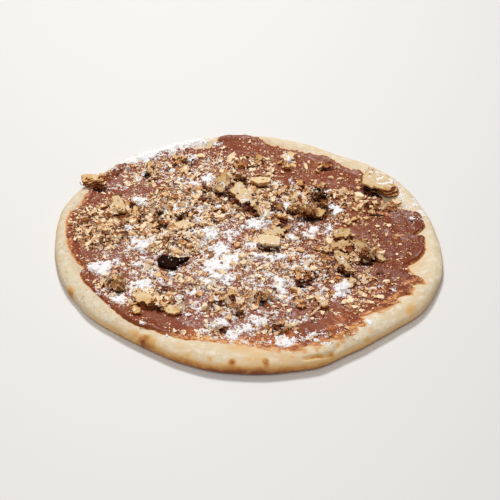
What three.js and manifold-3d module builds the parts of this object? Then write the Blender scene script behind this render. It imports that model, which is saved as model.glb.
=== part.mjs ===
// Chocolate hazelnut pizza: baked dough with a puffy rim, spread, crumbs, broken wafer and a shard
//
// Millimetres, +Z up. The origin is on the underside of the dough, in the middle of the round.
// +X is to the right and +Y is away from the thick side of the rim, and angles round the rim
// run counter-clockwise from +X.
//
// The dough is one disc whose outline, rim width and rim height change with the angle. The
// spread is a second, thinner disc that follows the dough's upper face with a small gap, and
// the crumbs that show from a step away are fused to it. Each wafer piece as large as a berry
// is a solid of its own, sunk a little into the spread and cut back from whatever it lies on.

import * as THREE from 'three';
import { mergeVertices } from 'three/addons/utils/BufferGeometryUtils.js';
import Module from 'manifold-3d';

const wasm = await Module();
wasm.setup();

// Driving dimensions

const BASE_THICKNESS = 5;
const SPREAD_THICKNESS = 2.1;
const SPREAD_LIP = 3.5;
const SPREAD_FROM_EDGE = 1.5;
const GAP = 0.3;
const SEGMENTS = 72;

// The dough's outer radius, one value every 10 degrees
const CRUST_RADII = [
  146, 145, 144.5, 145.5, 145, 141.5, 138.5, 140, 142, 143.5, 143, 142.5,
  142.5, 144.5, 145, 146, 148, 148, 146, 144.5, 144, 142.5, 141.5, 138.5,
  138, 140, 142.5, 143.5, 144, 144.5, 141.5, 140.5, 143, 147.5, 148, 148,
];
// The rim's width and its height above the table, one value every 30 degrees
const RIM_WIDTHS = [20, 22, 21, 14, 17, 18, 18, 25, 29, 34, 36, 30];
const RIM_HEIGHTS = [9, 8.6, 9, 8.2, 9, 9.6, 9.2, 10, 11.4, 12, 12.4, 11];
// How far the spread was pushed out, one value every 7.5 degrees
const SPREAD_RADII = [
  134, 137, 136, 120, 121, 120, 129, 125, 128, 127, 128, 130,
  140, 143, 129, 131, 135, 134, 135, 141, 139, 137, 137, 139,
  137, 133, 130, 131, 129, 128, 129, 130, 128, 126, 121, 116,
  118, 128, 130, 131, 131, 128, 123, 128, 129, 136, 126, 130,
];

// The crumbs fused to the spread, from the largest to the smallest
const CRUMB_COUNT = 150;
const CRUMB_LONGEST = 8.5;
const CRUMB_SHORTEST = 3.8;
const CRUMB_EDGE_MARGIN = 7;
// Ellipses where crumbs were scattered: centre, half sizes, and how densely they lie there
const CRUMB_FIELDS = [
  { x: -62, y: 22, rx: 48, ry: 40, share: 1 },
  { x: 5, y: 42, rx: 46, ry: 34, share: 1 },
  { x: -108, y: 18, rx: 24, ry: 34, share: 0.8 },
  { x: -40, y: -24, rx: 44, ry: 26, share: 0.9 },
  { x: 28, y: -22, rx: 52, ry: 30, share: 1 },
  { x: 76, y: -30, rx: 30, ry: 44, share: 0.8 },
  { x: 30, y: -78, rx: 44, ry: 30, share: 0.7 },
  { x: -12, y: -70, rx: 24, ry: 30, share: 0.8 },
  { x: -45, y: 90, rx: 50, ry: 26, share: 0.5 },
  { x: 30, y: 100, rx: 36, ry: 18, share: 0.35 },
  { x: 72, y: 46, rx: 30, ry: 36, share: 0.6 },
  { x: -88, y: -62, rx: 30, ry: 30, share: 0.35 },
];
const CRUMB_SHARE_ELSEWHERE = 0.06;

// The wafer pieces. size is length, width and thickness, turn is the length's angle from +X,
// pitch lifts the far end of the length, roll lifts the side to its left, and lift raises a
// piece that lies on others. A flake is one sheet, a block is a stack of sheets, and a chunk
// is a rough lump.
const WAFERS = [
  {
    name: 'wafer_slab', kind: 'block', x: 106, y: 70.5, size: [34, 23, 4.2], turn: -38,
    pitch: -2, roll: -5,
  },
  { name: 'rim_chunk', kind: 'block', x: -123.5, y: 66, size: [20, 13, 4.4], turn: 20, pitch: 3, roll: -6 },
  { name: 'long_flake', kind: 'flake', x: -100.5, y: 36.5, size: [30, 9, 2.2], turn: -70, pitch: 9, roll: 0 },
  { name: 'leaning_plate', kind: 'flake', x: -20, y: 66, size: [22, 9.5, 3], turn: 66, pitch: 32, roll: 14 },
  { name: 'brown_pile', kind: 'chunk', x: -7, y: 69, size: [13, 12, 9], turn: 60, pitch: 0, roll: 0 },
  { name: 'square_wafer', kind: 'block', x: 10, y: 73, size: [17, 10, 3.4], turn: 2, pitch: 3, roll: -6 },
  { name: 'broken_wafer', kind: 'block', x: -3, y: 47, size: [25, 15, 6], turn: -28, pitch: -8, roll: 22 },
  { name: 'tan_plate', kind: 'flake', x: 24, y: 36, size: [10, 10, 2.4], turn: 85, pitch: 48, roll: 0 },
  { name: 'thin_bar', kind: 'flake', x: 27, y: 25.5, size: [20, 4, 3], turn: -32, pitch: 8, roll: 0 },
  { name: 'wafer_block', kind: 'block', x: 16, y: -6, size: [17, 12.5, 5.6], turn: 2, pitch: 0, roll: 3 },
  { name: 'upper_sheet', kind: 'flake', x: 19, y: 5.4, size: [18, 8, 2.2], turn: 6, pitch: 4, roll: 26 },
  { name: 'dark_chunk', kind: 'chunk', x: 54, y: 53, size: [14, 9, 11], turn: 66, pitch: 0, roll: 0 },
  { name: 'cluster_left', kind: 'chunk', x: 36, y: 38, size: [13, 9, 7], turn: 25, pitch: 0, roll: 0 },
  {
    name: 'cluster_middle', kind: 'block', x: 46, y: 33, size: [13, 8, 6.5], turn: -20,
    pitch: 12, roll: -14,
  },
  { name: 'cluster_right', kind: 'flake', x: 55, y: 32, size: [10, 8, 3], turn: 50, pitch: 26, roll: 0 },
  { name: 'pile_top', kind: 'block', x: 71, y: 4, size: [14, 10, 5], turn: 24, pitch: 6, roll: 10 },
  {
    name: 'pile_curl', kind: 'flake', x: 85, y: -9.5, size: [18, 7, 2.4], turn: -36,
    pitch: -8, roll: 24, lift: 1.2,
  },
  {
    name: 'layered_bar', kind: 'block', x: 71.5, y: -32.5, size: [23, 7, 5.6], turn: -52,
    pitch: -5, roll: 18,
  },
  {
    name: 'pile_bar', kind: 'flake', x: 70.5, y: -23.5, size: [15, 5, 2.6], turn: -44,
    pitch: 4, roll: 8, lift: 3,
  },
  { name: 'coated_chunk', kind: 'chunk', x: 88, y: -20, size: [16, 13, 7.5], turn: -30, pitch: 0, roll: 0 },
  { name: 'pile_flake', kind: 'flake', x: 99, y: -21.5, size: [12, 5, 2.4], turn: -34, pitch: -8, roll: 0 },
  {
    name: 'pile_end', kind: 'flake', x: 66.5, y: -11, size: [22, 9, 2.6], turn: 27,
    pitch: 3, roll: 12, lift: 1.5,
  },
  { name: 'front_chunk', kind: 'block', x: -73, y: -75, size: [20, 11, 5], turn: -32, pitch: 2, roll: 12 },
  { name: 'left_cluster', kind: 'chunk', x: -96, y: -58, size: [19, 13, 7], turn: -50, pitch: 0, roll: 0 },
  { name: 'right_chunk', kind: 'block', x: 40, y: -48, size: [13, 9, 6.5], turn: 24, pitch: 0, roll: 12 },
  { name: 'sugared_flake', kind: 'flake', x: 74, y: -52, size: [14, 9, 2.4], turn: 62, pitch: 8, roll: 8 },
  { name: 'flake_far_1', kind: 'flake', x: -57, y: 104, size: [12, 9, 2.6], turn: -30, pitch: 12, roll: 16 },
  { name: 'flake_far_2', kind: 'flake', x: -52.5, y: 88, size: [11, 9, 2.2], turn: 40, pitch: 6, roll: 0 },
  { name: 'flake_far_3', kind: 'flake', x: -76, y: 78, size: [13, 6.5, 2.2], turn: 78, pitch: 6, roll: 0 },
  { name: 'flake_far_4', kind: 'flake', x: -80, y: 89, size: [14, 5, 2.6], turn: 80, pitch: 14, roll: 20 },
  { name: 'flake_far_5', kind: 'flake', x: -8.5, y: 95, size: [12, 6, 2.4], turn: 6, pitch: 0, roll: 30 },
  { name: 'flake_far_6', kind: 'flake', x: 7.5, y: 104, size: [13, 6, 2.6], turn: 62, pitch: 14, roll: 20 },
  { name: 'flake_far_7', kind: 'flake', x: 28, y: 97, size: [13, 9, 2.2], turn: -36, pitch: 8, roll: 0 },
  { name: 'flake_far_8', kind: 'flake', x: 32, y: 110, size: [14, 11, 2.4], turn: 66, pitch: 5, roll: 4 },
  { name: 'flake_far_9', kind: 'flake', x: 63.5, y: 97, size: [10, 7, 2.8], turn: 20, pitch: 12, roll: 24 },
  { name: 'flake_mid_1', kind: 'flake', x: -49, y: 14, size: [17, 14, 2.4], turn: 12, pitch: 4, roll: 4 },
  { name: 'flake_mid_2', kind: 'flake', x: -86, y: 28, size: [20, 5, 2.4], turn: -75, pitch: 4, roll: 24 },
  { name: 'flake_mid_3', kind: 'flake', x: 26, y: 60, size: [11, 9, 2.6], turn: 70, pitch: 16, roll: 0 },
  { name: 'flake_mid_4', kind: 'flake', x: 36, y: 53, size: [13, 8, 2.4], turn: 74, pitch: 12, roll: 10 },
  { name: 'flake_mid_5', kind: 'flake', x: 42, y: 72, size: [11, 8, 2.4], turn: -50, pitch: 14, roll: 0 },
  { name: 'flake_mid_6', kind: 'flake', x: 79.5, y: 23, size: [12, 4.5, 2.4], turn: 48, pitch: 6, roll: 0 },
  { name: 'flake_mid_7', kind: 'flake', x: 30, y: 14, size: [9, 6, 2.6], turn: 70, pitch: 24, roll: 20 },
  { name: 'flake_near_1', kind: 'flake', x: -51, y: -86, size: [11, 8, 3], turn: 8, pitch: 4, roll: 6 },
  { name: 'flake_near_2', kind: 'flake', x: -78, y: -89, size: [14, 7, 2], turn: -66, pitch: 4, roll: 0 },
  { name: 'flake_near_3', kind: 'flake', x: 37, y: -73, size: [15, 9, 2.4], turn: -60, pitch: 4, roll: 6 },
  { name: 'flake_near_4', kind: 'flake', x: 54, y: -73, size: [16, 6, 2.4], turn: -56, pitch: 4, roll: 8 },
  { name: 'pile_near_1', kind: 'block', x: -14, y: -72, size: [14, 9, 5.6], turn: 30, pitch: 8, roll: 16 },
  { name: 'pile_near_2', kind: 'chunk', x: -7, y: -84, size: [12, 8, 6.4], turn: 70, pitch: 0, roll: 0 },
  { name: 'brown_lump_1', kind: 'chunk', x: 12, y: -69, size: [14, 9, 4.6], turn: -28, pitch: 0, roll: 0 },
  { name: 'brown_lump_2', kind: 'chunk', x: 24, y: -103, size: [13, 8, 5], turn: 10, pitch: 0, roll: 0 },
];

// The dark chocolate shard lies flat in the spread. Its corners are given in its own plane.
const SHARD = { x: -56, y: -31.5, thickness: 3, turn: -10, pitch: 5, roll: 4 };
const SHARD_CORNERS = [
  [-10.5, 0.5], [-8, -4.5], [-1.5, -7], [4.5, -6], [5.5, -1],
  [10.5, 2.2], [12.5, 6], [5, 3.6], [-2, 4.4], [-8, 6],
];

const SINK = 0.8;
const BLOCK_SHEETS = 3;

function material(color, roughness) {
  return new THREE.MeshStandardMaterial({ color, roughness, metalness: 0 });
}

const MATERIALS = {
  dough: material(0xe6dabe, 0.85),
  spread: material(0x8a5038, 0.4),
  wafer: material(0xe0b987, 0.8),
  chocolate: material(0x241008, 0.35),
};

// Repeatable random number from 0 to 1 for the step k of the draw called channel
function draw(k, channel) {
  const wave = Math.sin(k * 12.9898 + channel * 78.233) * 43758.5453;
  return wave - Math.floor(wave);
}

// A smooth closed curve through values that are spaced evenly round the full turn
function aroundTheRim(values, angle) {
  const turn = angle / (2 * Math.PI);
  const place = (turn - Math.floor(turn)) * values.length;
  const i = Math.floor(place);
  const t = place - i;
  const at = (k) => values[(i + k + values.length) % values.length];
  const slopeIn = (at(1) - at(-1)) / 2;
  const slopeOut = (at(2) - at(0)) / 2;
  const rise = at(1) - at(0);
  return at(0) + slopeIn * t + (3 * rise - 2 * slopeIn - slopeOut) * t ** 2
    + (slopeIn + slopeOut - 2 * rise) * t ** 3;
}

function crustRadius(angle) {
  return aroundTheRim(CRUST_RADII, angle);
}

function spreadRadius(angle) {
  const limit = crustRadius(angle) - SPREAD_FROM_EDGE;
  return Math.min(aroundTheRim(SPREAD_RADII, angle), limit);
}

// Height of the dough's upper face: a rounded outer shoulder, a crown, then a slope to the base
const CROWN_AT = 0.36;
const SHOULDER_HEIGHT = 0.42;

function doughTop(angle, radius) {
  const width = aroundTheRim(RIM_WIDTHS, angle);
  const height = aroundTheRim(RIM_HEIGHTS, angle);
  const inward = THREE.MathUtils.clamp((crustRadius(angle) - radius) / width, 0, 1);
  if (inward < CROWN_AT) {
    const low = height * SHOULDER_HEIGHT;
    return low + (height - low) * Math.sqrt(1 - (1 - inward / CROWN_AT) ** 2);
  }
  const slope = (inward - CROWN_AT) / (1 - CROWN_AT);
  return BASE_THICKNESS + (height - BASE_THICKNESS) * (0.5 + 0.5 * Math.cos(Math.PI * slope));
}

// Height of the rounded underside between the table and the shoulder
const FOOT_AT = 0.2;

function doughBottom(angle, radius) {
  const foot = aroundTheRim(RIM_WIDTHS, angle) * FOOT_AT;
  const inward = THREE.MathUtils.clamp((crustRadius(angle) - radius) / foot, 0, 1);
  const low = aroundTheRim(RIM_HEIGHTS, angle) * SHOULDER_HEIGHT;
  return low * (1 - Math.sqrt(1 - (1 - inward) ** 2));
}

// Height of the spread's upper face, with a rounded lip where it ends
function spreadTop(angle, radius) {
  const inward = THREE.MathUtils.clamp((spreadRadius(angle) - radius) / SPREAD_LIP, 0, 1);
  return doughTop(angle, radius) + GAP + SPREAD_THICKNESS * Math.sqrt(1 - (1 - inward) ** 2);
}

function surfaceBelow(x, y) {
  const angle = Math.atan2(y, x);
  const radius = Math.hypot(x, y);
  if (radius < spreadRadius(angle)) {
    return spreadTop(angle, radius);
  }
  return doughTop(angle, Math.min(radius, crustRadius(angle)));
}

// Solids and meshes

function toSolid(geometry) {
  const bare = geometry.index ? geometry.toNonIndexed() : geometry.clone();
  bare.deleteAttribute('normal');
  bare.deleteAttribute('uv');
  const merged = mergeVertices(bare, 1e-4);
  return new wasm.Manifold(new wasm.Mesh({
    numProp: 3,
    vertProperties: new Float32Array(merged.attributes.position.array),
    triVerts: new Uint32Array(merged.index.array),
  }));
}

function toGeometry(solid) {
  const mesh = solid.getMesh();
  const geometry = new THREE.BufferGeometry();
  geometry.setAttribute('position', new THREE.BufferAttribute(mesh.vertProperties, 3));
  geometry.setIndex(new THREE.BufferAttribute(mesh.triVerts, 1));
  return geometry;
}

// A lathe whose profile steps are moved to their true places: place gives x, y and z for an
// angle and a step. Steps that run down the outside, rather than up it, turn the faces over.
function turnedBody(steps, place, stepsRunUp) {
  const profile = steps.map((step, k) => new THREE.Vector2(k % (steps.length - 1) ? 1 : 0, k));
  const geometry = new THREE.LatheGeometry(profile, SEGMENTS);
  const position = geometry.attributes.position;
  for (let i = 0; i < position.count; i += 1) {
    const segment = Math.floor(i / steps.length);
    const angle = (segment % SEGMENTS) * (2 * Math.PI / SEGMENTS);
    position.setXYZ(i, ...place(angle, steps[i % steps.length]));
  }
  const index = geometry.index.array;
  if (!stepsRunUp) {
    for (let i = 0; i < index.length; i += 3) {
      [index[i], index[i + 1]] = [index[i + 1], index[i]];
    }
  }
  return toSolid(withoutFlatTriangles(geometry));
}

// At the axis the lathe's triangles have no area, so they are dropped
function withoutFlatTriangles(geometry) {
  const flat = geometry.toNonIndexed().attributes.position;
  const kept = [];
  const corner = [0, 1, 2].map(() => new THREE.Vector3());
  for (let i = 0; i < flat.count; i += 3) {
    corner.forEach((v, k) => v.fromBufferAttribute(flat, i + k));
    if (new THREE.Triangle(...corner).getArea() > 1e-6) {
      corner.forEach((v) => kept.push(v.x, v.y, v.z));
    }
  }
  const result = new THREE.BufferGeometry();
  result.setAttribute('position', new THREE.Float32BufferAttribute(kept, 3));
  return result;
}

// The rings that the dough's upper face and the spread's underside share, as parts of the
// spread's radius, and the rings between the spread's edge and the dough's shoulder
const SHARED_RINGS = [1, 0.955, 0.88, 0.78, 0.6, 0.32];
const RIM_RINGS = [1, 0.94, 0.8, 0.6, 0.35];
const FOOT_RINGS = [1, 0.4];
const LIP_RINGS = [0.6, 0.12];

function doughSolid() {
  const steps = [
    { side: 'centre', z: 0 },
    ...FOOT_RINGS.map((part) => ({ side: 'foot', part })),
    ...RIM_RINGS.map((part) => ({ side: 'rim', part })),
    ...SHARED_RINGS.map((part) => ({ side: 'base', part })),
    { side: 'centre', z: BASE_THICKNESS },
  ];
  const place = (angle, step) => {
    if (step.side === 'centre') {
      return [0, 0, step.z];
    }
    const outer = crustRadius(angle);
    const edge = spreadRadius(angle);
    const radius = {
      foot: outer - step.part * FOOT_AT * aroundTheRim(RIM_WIDTHS, angle),
      rim: edge + (outer - edge) * step.part,
      base: edge * step.part,
    }[step.side];
    const height = step.side === 'foot' ? doughBottom(angle, radius) : doughTop(angle, radius);
    return [radius * Math.cos(angle), radius * Math.sin(angle), height];
  };
  return turnedBody(steps, place, true);
}

function spreadSolid() {
  const steps = [
    { face: 'top', part: 0 },
    ...SHARED_RINGS.slice(1).reverse().map((part) => ({ face: 'top', part })),
    ...LIP_RINGS.map((part) => ({ face: 'lip', inward: SPREAD_LIP * part })),
    ...SHARED_RINGS.map((part) => ({ face: 'underside', part })),
    { face: 'underside', part: 0 },
  ];
  const place = (angle, step) => {
    const edge = spreadRadius(angle);
    const radius = step.face === 'lip' ? edge - step.inward : edge * step.part;
    const height = step.face === 'underside' ? doughTop(angle, radius) + GAP : spreadTop(angle, radius);
    return [radius * Math.cos(angle), radius * Math.sin(angle), height];
  };
  return turnedBody(steps, place, false);
}

// A broken sheet: an uneven polygon, a little longer than wide, given a thickness
function sheetGeometry([length, width, thickness], seed, corners) {
  const outline = new THREE.Shape();
  for (let k = 0; k < corners; k += 1) {
    const angle = ((k + 0.5 * draw(seed + k, 1)) / corners) * 2 * Math.PI;
    const reach = 0.84 + 0.3 * draw(seed + k, 2);
    const squareness = 1 / Math.max(Math.abs(Math.cos(angle)), Math.abs(Math.sin(angle)));
    const out = 0.5 * reach * Math.min(squareness, 1.25);
    outline[k ? 'lineTo' : 'moveTo'](length * out * Math.cos(angle), width * out * Math.sin(angle));
  }
  const geometry = new THREE.ExtrudeGeometry(outline, { depth: thickness, bevelEnabled: false });
  return geometry.translate(0, 0, -thickness / 2);
}

function shardSolid() {
  const outline = new THREE.Shape(SHARD_CORNERS.map(([x, y]) => new THREE.Vector2(x, y)));
  const geometry = new THREE.ExtrudeGeometry(outline, { depth: SHARD.thickness, bevelEnabled: false });
  return toSolid(geometry.translate(0, 0, -SHARD.thickness / 2));
}

// A stack of sheets whose edges broke unevenly, fused into one solid
function blockSolid([length, width, thickness], seed) {
  const sheet = thickness / BLOCK_SHEETS;
  let stack = null;
  for (let k = 0; k < BLOCK_SHEETS; k += 1) {
    const shrink = 1 - 0.16 * draw(seed + k, 3);
    const part = toSolid(sheetGeometry([length * shrink, width * shrink, sheet * 1.1], seed + 7 * k, 6));
    const slip = [0.08 * length * (draw(seed + k, 4) - 0.5), 0.08 * width * (draw(seed + k, 5) - 0.5)];
    const moved = part.translate([...slip, (k - (BLOCK_SHEETS - 1) / 2) * sheet]);
    stack = stack ? stack.add(moved) : moved;
  }
  return stack;
}

// A rough lump: a ball of flat facets with every corner pushed in or out
function lumpSolid([length, width, thickness], seed, detail) {
  const bare = new THREE.IcosahedronGeometry(0.5, detail);
  bare.deleteAttribute('normal');
  bare.deleteAttribute('uv');
  const geometry = mergeVertices(bare, 1e-4);
  const position = geometry.attributes.position;
  for (let i = 0; i < position.count; i += 1) {
    const push = 0.8 + 0.42 * draw(seed + i, 6);
    position.setXYZ(i, position.getX(i) * push * length, position.getY(i) * push * width,
      position.getZ(i) * push * thickness);
  }
  return toSolid(geometry);
}

function shapeOf(piece, seed) {
  if (piece === SHARD) {
    return shardSolid();
  }
  if (piece.kind === 'block') {
    return blockSolid(piece.size, seed);
  }
  if (piece.kind === 'chunk') {
    return lumpSolid(piece.size, seed, 1);
  }
  return toSolid(sheetGeometry(piece.size, seed, 6));
}

// Turns a piece, puts it over x and y, and lowers it until its lowest corner is sunk
function laidDown(solid, piece) {
  const turned = solid.rotate([piece.roll, -piece.pitch, 0]).rotate([0, 0, piece.turn]);
  const spot = turned.translate([piece.x, piece.y, 0]);
  const corners = spot.getMesh().vertProperties;
  let clearance = Infinity;
  for (let i = 0; i < corners.length; i += 3) {
    clearance = Math.min(clearance, corners[i + 2] - surfaceBelow(corners[i], corners[i + 1]));
  }
  return spot.translate([0, 0, -clearance - SINK + (piece.lift ?? 0)]);
}

function boxesMeet(a, b, margin) {
  const boxA = a.boundingBox();
  const boxB = b.boundingBox();
  return [0, 1, 2].every((k) => boxA.min[k] < boxB.max[k] + margin && boxB.min[k] < boxA.max[k] + margin);
}

// Cuts a piece back from another so that the gap stays between them on every side
function cutBack(solid, other) {
  let rest = solid;
  for (const shift of [[0, 0, GAP], [GAP, 0, 0], [-GAP, 0, 0], [0, GAP, 0], [0, -GAP, 0]]) {
    rest = rest.subtract(other.translate(shift));
  }
  return rest;
}

function largestOf(solid) {
  return solid.decompose().reduce((best, next) => (next.volume() > best.volume() ? next : best));
}

function crumbShare(x, y) {
  const shares = CRUMB_FIELDS.map((field) => {
    const away = Math.hypot((x - field.x) / field.rx, (y - field.y) / field.ry);
    return field.share * THREE.MathUtils.clamp(2.4 * (1.15 - away), 0, 1);
  });
  return Math.max(CRUMB_SHARE_ELSEWHERE, ...shares);
}

// An even scatter over the square round the pizza: each step moves on by the plastic ratio
const PLASTIC = 1.32471795724474602596;

function scatterPoint(k) {
  const reach = Math.max(...CRUST_RADII);
  const u = (0.5 + k / PLASTIC) % 1;
  const v = (0.5 + k / PLASTIC ** 2) % 1;
  return [reach * (2 * u - 1), reach * (2 * v - 1)];
}

// The crumbs, largest first, where the scatter falls on sprinkled spread clear of the pieces
function crumbSolids(pieces) {
  const crumbs = [];
  for (let k = 1; crumbs.length < CRUMB_COUNT; k += 1) {
    const [x, y] = scatterPoint(k);
    const inside = Math.hypot(x, y) < spreadRadius(Math.atan2(y, x)) - CRUMB_EDGE_MARGIN;
    if (!inside || draw(k, 10) > crumbShare(x, y)) {
      continue;
    }
    const shrink = (1 - crumbs.length / CRUMB_COUNT) ** 1.4;
    const length = CRUMB_SHORTEST + (CRUMB_LONGEST - CRUMB_SHORTEST) * shrink;
    const size = [length, length * (0.5 + 0.4 * draw(k, 11)), length * (0.34 + 0.2 * draw(k, 12))];
    const spot = { x, y, turn: 360 * draw(k, 13), pitch: 30 * draw(k, 14) - 15, roll: 30 * draw(k, 15) - 15 };
    const crumb = laidDown(lumpSolid(size, k, 0), spot);
    const near = pieces.filter((piece) => boxesMeet(crumb, piece, 2 * GAP));
    const grown = near.map((piece) => crumb.subtract(cutBack(crumb, piece)));
    if (grown.every((meeting) => meeting.volume() < 1e-6)) {
      crumbs.push(crumb);
    }
  }
  return crumbs;
}

// Assembly

const dough = doughSolid();
const bareSpread = spreadSolid();

// Every loose piece is cut back from the dough, the spread and the pieces laid before it
const pieces = [];
for (const [k, piece] of [SHARD, ...WAFERS].entries()) {
  let solid = laidDown(shapeOf(piece, 40 * k + 3), piece);
  for (const below of [bareSpread, dough, ...pieces.map((laid) => laid.solid)]) {
    if (boxesMeet(solid, below, 2 * GAP)) {
      solid = cutBack(solid, below);
    }
  }
  pieces.push({ name: piece.name ?? 'chocolate_shard', solid: largestOf(solid) });
}

const crumbs = crumbSolids(pieces.map((piece) => piece.solid));
const spread = crumbs.reduce((whole, crumb) => whole.add(crumb), bareSpread);

const pizza = new THREE.Group();

function addNode(name, solid, slot) {
  const mesh = new THREE.Mesh(toGeometry(solid), MATERIALS[slot]);
  mesh.name = name;
  pizza.add(mesh);
}

addNode('crust', dough, 'dough');
addNode('spread', largestOf(spread), 'spread');
for (const { name, solid } of pieces) {
  addNode(name, solid, name === 'chocolate_shard' ? 'chocolate' : 'wafer');
}

export default pizza;
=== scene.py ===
# %% [markdown]
# # A chocolate hazelnut pizza
# The real thing is a flat baked dough with a puffy, pale rim. Warm chocolate hazelnut spread was
# pushed outwards with a knife, and crushed wafer, a shard of dark chocolate and icing sugar were
# scattered on it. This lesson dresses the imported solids: every visible piece is modelled again
# with finer form, in the same place, and gets a procedural finish.

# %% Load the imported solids
import math

import bmesh
import bpy
import numpy as np
from mathutils import Matrix, Vector


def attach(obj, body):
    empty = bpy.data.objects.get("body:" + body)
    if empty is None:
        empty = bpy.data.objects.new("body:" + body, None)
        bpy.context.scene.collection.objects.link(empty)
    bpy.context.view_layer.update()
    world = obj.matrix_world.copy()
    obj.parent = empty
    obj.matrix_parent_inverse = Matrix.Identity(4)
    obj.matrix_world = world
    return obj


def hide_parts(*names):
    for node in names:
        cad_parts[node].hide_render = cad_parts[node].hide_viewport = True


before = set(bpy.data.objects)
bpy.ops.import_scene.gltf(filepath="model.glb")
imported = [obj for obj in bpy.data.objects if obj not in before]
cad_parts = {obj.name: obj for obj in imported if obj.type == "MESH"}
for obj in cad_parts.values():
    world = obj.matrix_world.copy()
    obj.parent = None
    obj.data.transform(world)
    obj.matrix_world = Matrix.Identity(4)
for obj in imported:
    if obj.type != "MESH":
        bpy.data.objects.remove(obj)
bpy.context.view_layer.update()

# %% [markdown]
# ## The camera
# The camera stands about a metre away and looks down by 38 degrees through a long lens, so the
# round looks like a wide ellipse. It leans by about one degree.

# %% Camera
MM = 0.001
CAMERA_DISTANCE = 1050 * MM
CAMERA_ELEVATION = math.radians(38.28)
CAMERA_ROLL = math.radians(1.21)
CAMERA_OFFSET = Vector((0.5, -1.0, 0.0)) * MM
AIM = Vector((1.9, -3.8, 0.0)) * MM
LENS = 99.44

camera_data = bpy.data.cameras.new("camera")
camera_data.lens = LENS
camera_data.sensor_width = 36
camera = bpy.data.objects.new("camera", camera_data)
bpy.context.scene.collection.objects.link(camera)
bpy.context.scene.camera = camera
camera_place = CAMERA_OFFSET + CAMERA_DISTANCE * Vector(
    (0, -math.cos(CAMERA_ELEVATION), math.sin(CAMERA_ELEVATION)))
look = (AIM - camera_place).normalized()
level_right = look.cross(Vector((0, 0, 1))).normalized()
level_up = level_right.cross(look)
right = math.cos(CAMERA_ROLL) * level_right + math.sin(CAMERA_ROLL) * level_up
up = math.cos(CAMERA_ROLL) * level_up - math.sin(CAMERA_ROLL) * level_right
turned = Matrix((right, up, -look)).transposed().to_4x4()
camera.matrix_world = Matrix.Translation(camera_place) @ turned
print("camera at", [round(v, 3) for v in camera_place])

# %% [markdown]
# ## Floor and light
# A plain pale floor, a soft light high behind the pizza, so that the wafers' shadows fall
# forwards as on a table by a window, and a wider one in front that keeps the near rim bright.

# %% Floor and lights
FLOOR_COLOUR = (0.78, 0.77, 0.75)
STUDIO_COLOUR = (1, 0.975, 0.945)
STUDIO_STRENGTH = 0.24


def plain_material(name, colour, roughness):
    """A material of one colour, which later finishes start from."""
    material = bpy.data.materials.new(name)
    material.use_nodes = True
    shader = material.node_tree.nodes["Principled BSDF"]
    shader.inputs["Base Color"].default_value = (*colour, 1)
    shader.inputs["Roughness"].default_value = roughness
    return material


def new_object(name, bm, material=None):
    """An object in the scene made from a bmesh, which is then freed."""
    mesh = bpy.data.meshes.new(name)
    bm.to_mesh(mesh)
    bm.free()
    thing = bpy.data.objects.new(name, mesh)
    bpy.context.scene.collection.objects.link(thing)
    if material:
        mesh.materials.append(material)
    return thing


floor_mesh = bmesh.new()
bmesh.ops.create_grid(floor_mesh, x_segments=1, y_segments=1, size=4)
floor = new_object("floor", floor_mesh, plain_material("floor", FLOOR_COLOUR, 0.6))


def soft_light(name, azimuth, elevation, distance, size, power):
    """A round lamp that shines on the middle of the pizza. Angles are in degrees, lengths in metres."""
    data = bpy.data.lights.new(name, "AREA")
    data.shape = "DISK"
    data.size = size
    data.energy = power
    light = bpy.data.objects.new(name, data)
    around, upwards = math.radians(azimuth), math.radians(elevation)
    level = math.cos(upwards)
    towards_light = Vector((math.cos(around) * level, math.sin(around) * level, math.sin(upwards)))
    light.location = distance * towards_light
    light.rotation_euler = (-light.location).to_track_quat("-Z", "Y").to_euler()
    bpy.context.scene.collection.objects.link(light)


soft_light("key", azimuth=99, elevation=58, distance=1.5, size=0.4, power=15.5)
soft_light("fill", azimuth=258, elevation=56, distance=1.6, size=1.0, power=8.4)
world = bpy.data.worlds.new("studio")
bpy.context.scene.world = world
world.use_nodes = True
background = world.node_tree.nodes["Background"]
background.inputs["Color"].default_value = (*STUDIO_COLOUR, 1)
background.inputs["Strength"].default_value = STUDIO_STRENGTH
bpy.context.scene.view_settings.view_transform = "Standard"
print("lights", [light.name for light in bpy.data.lights], "and a studio of strength", STUDIO_STRENGTH)

# %% [markdown]
# ## Measures of the dough and the spread
# The outline of a hand-stretched dough is uneven, so its radius, and the rim's width and height,
# are given at even steps round the middle and joined by a smooth closed curve. All lengths here
# are millimetres, as a baker would measure them. Radii start at +X and run counter-clockwise.

# %% Outlines
BASE_THICKNESS = 5.0
SPREAD_THICKNESS = 2.1
SPREAD_LIP = 3.5
SPREAD_FROM_EDGE = 1.5
CROWN_AT = 0.36
SHOULDER_HEIGHT = 0.42
FOOT_AT = 0.2
CRUST_RADII = [
    146, 145, 144.5, 145.5, 145, 141.5, 138.5, 140, 142, 143.5, 143, 142.5,
    142.5, 144.5, 145, 146, 148, 148, 146, 144.5, 144, 142.5, 141.5, 138.5,
    138, 140, 142.5, 143.5, 144, 144.5, 141.5, 140.5, 143, 147.5, 148, 148,
]
RIM_WIDTHS = [20, 22, 21, 14, 17, 18, 18, 25, 29, 34, 36, 30]
RIM_HEIGHTS = [9, 8.6, 9, 8.2, 9, 9.6, 9.2, 10, 11.4, 12, 12.4, 11]
SPREAD_RADII = [
    134, 137, 136, 120, 121, 120, 129, 125, 128, 127, 128, 130,
    140, 143, 129, 131, 135, 134, 135, 141, 139, 137, 137, 139,
    137, 133, 130, 131, 129, 128, 129, 130, 128, 126, 121, 116,
    118, 128, 130, 131, 131, 128, 123, 128, 129, 136, 126, 130,
]


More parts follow.
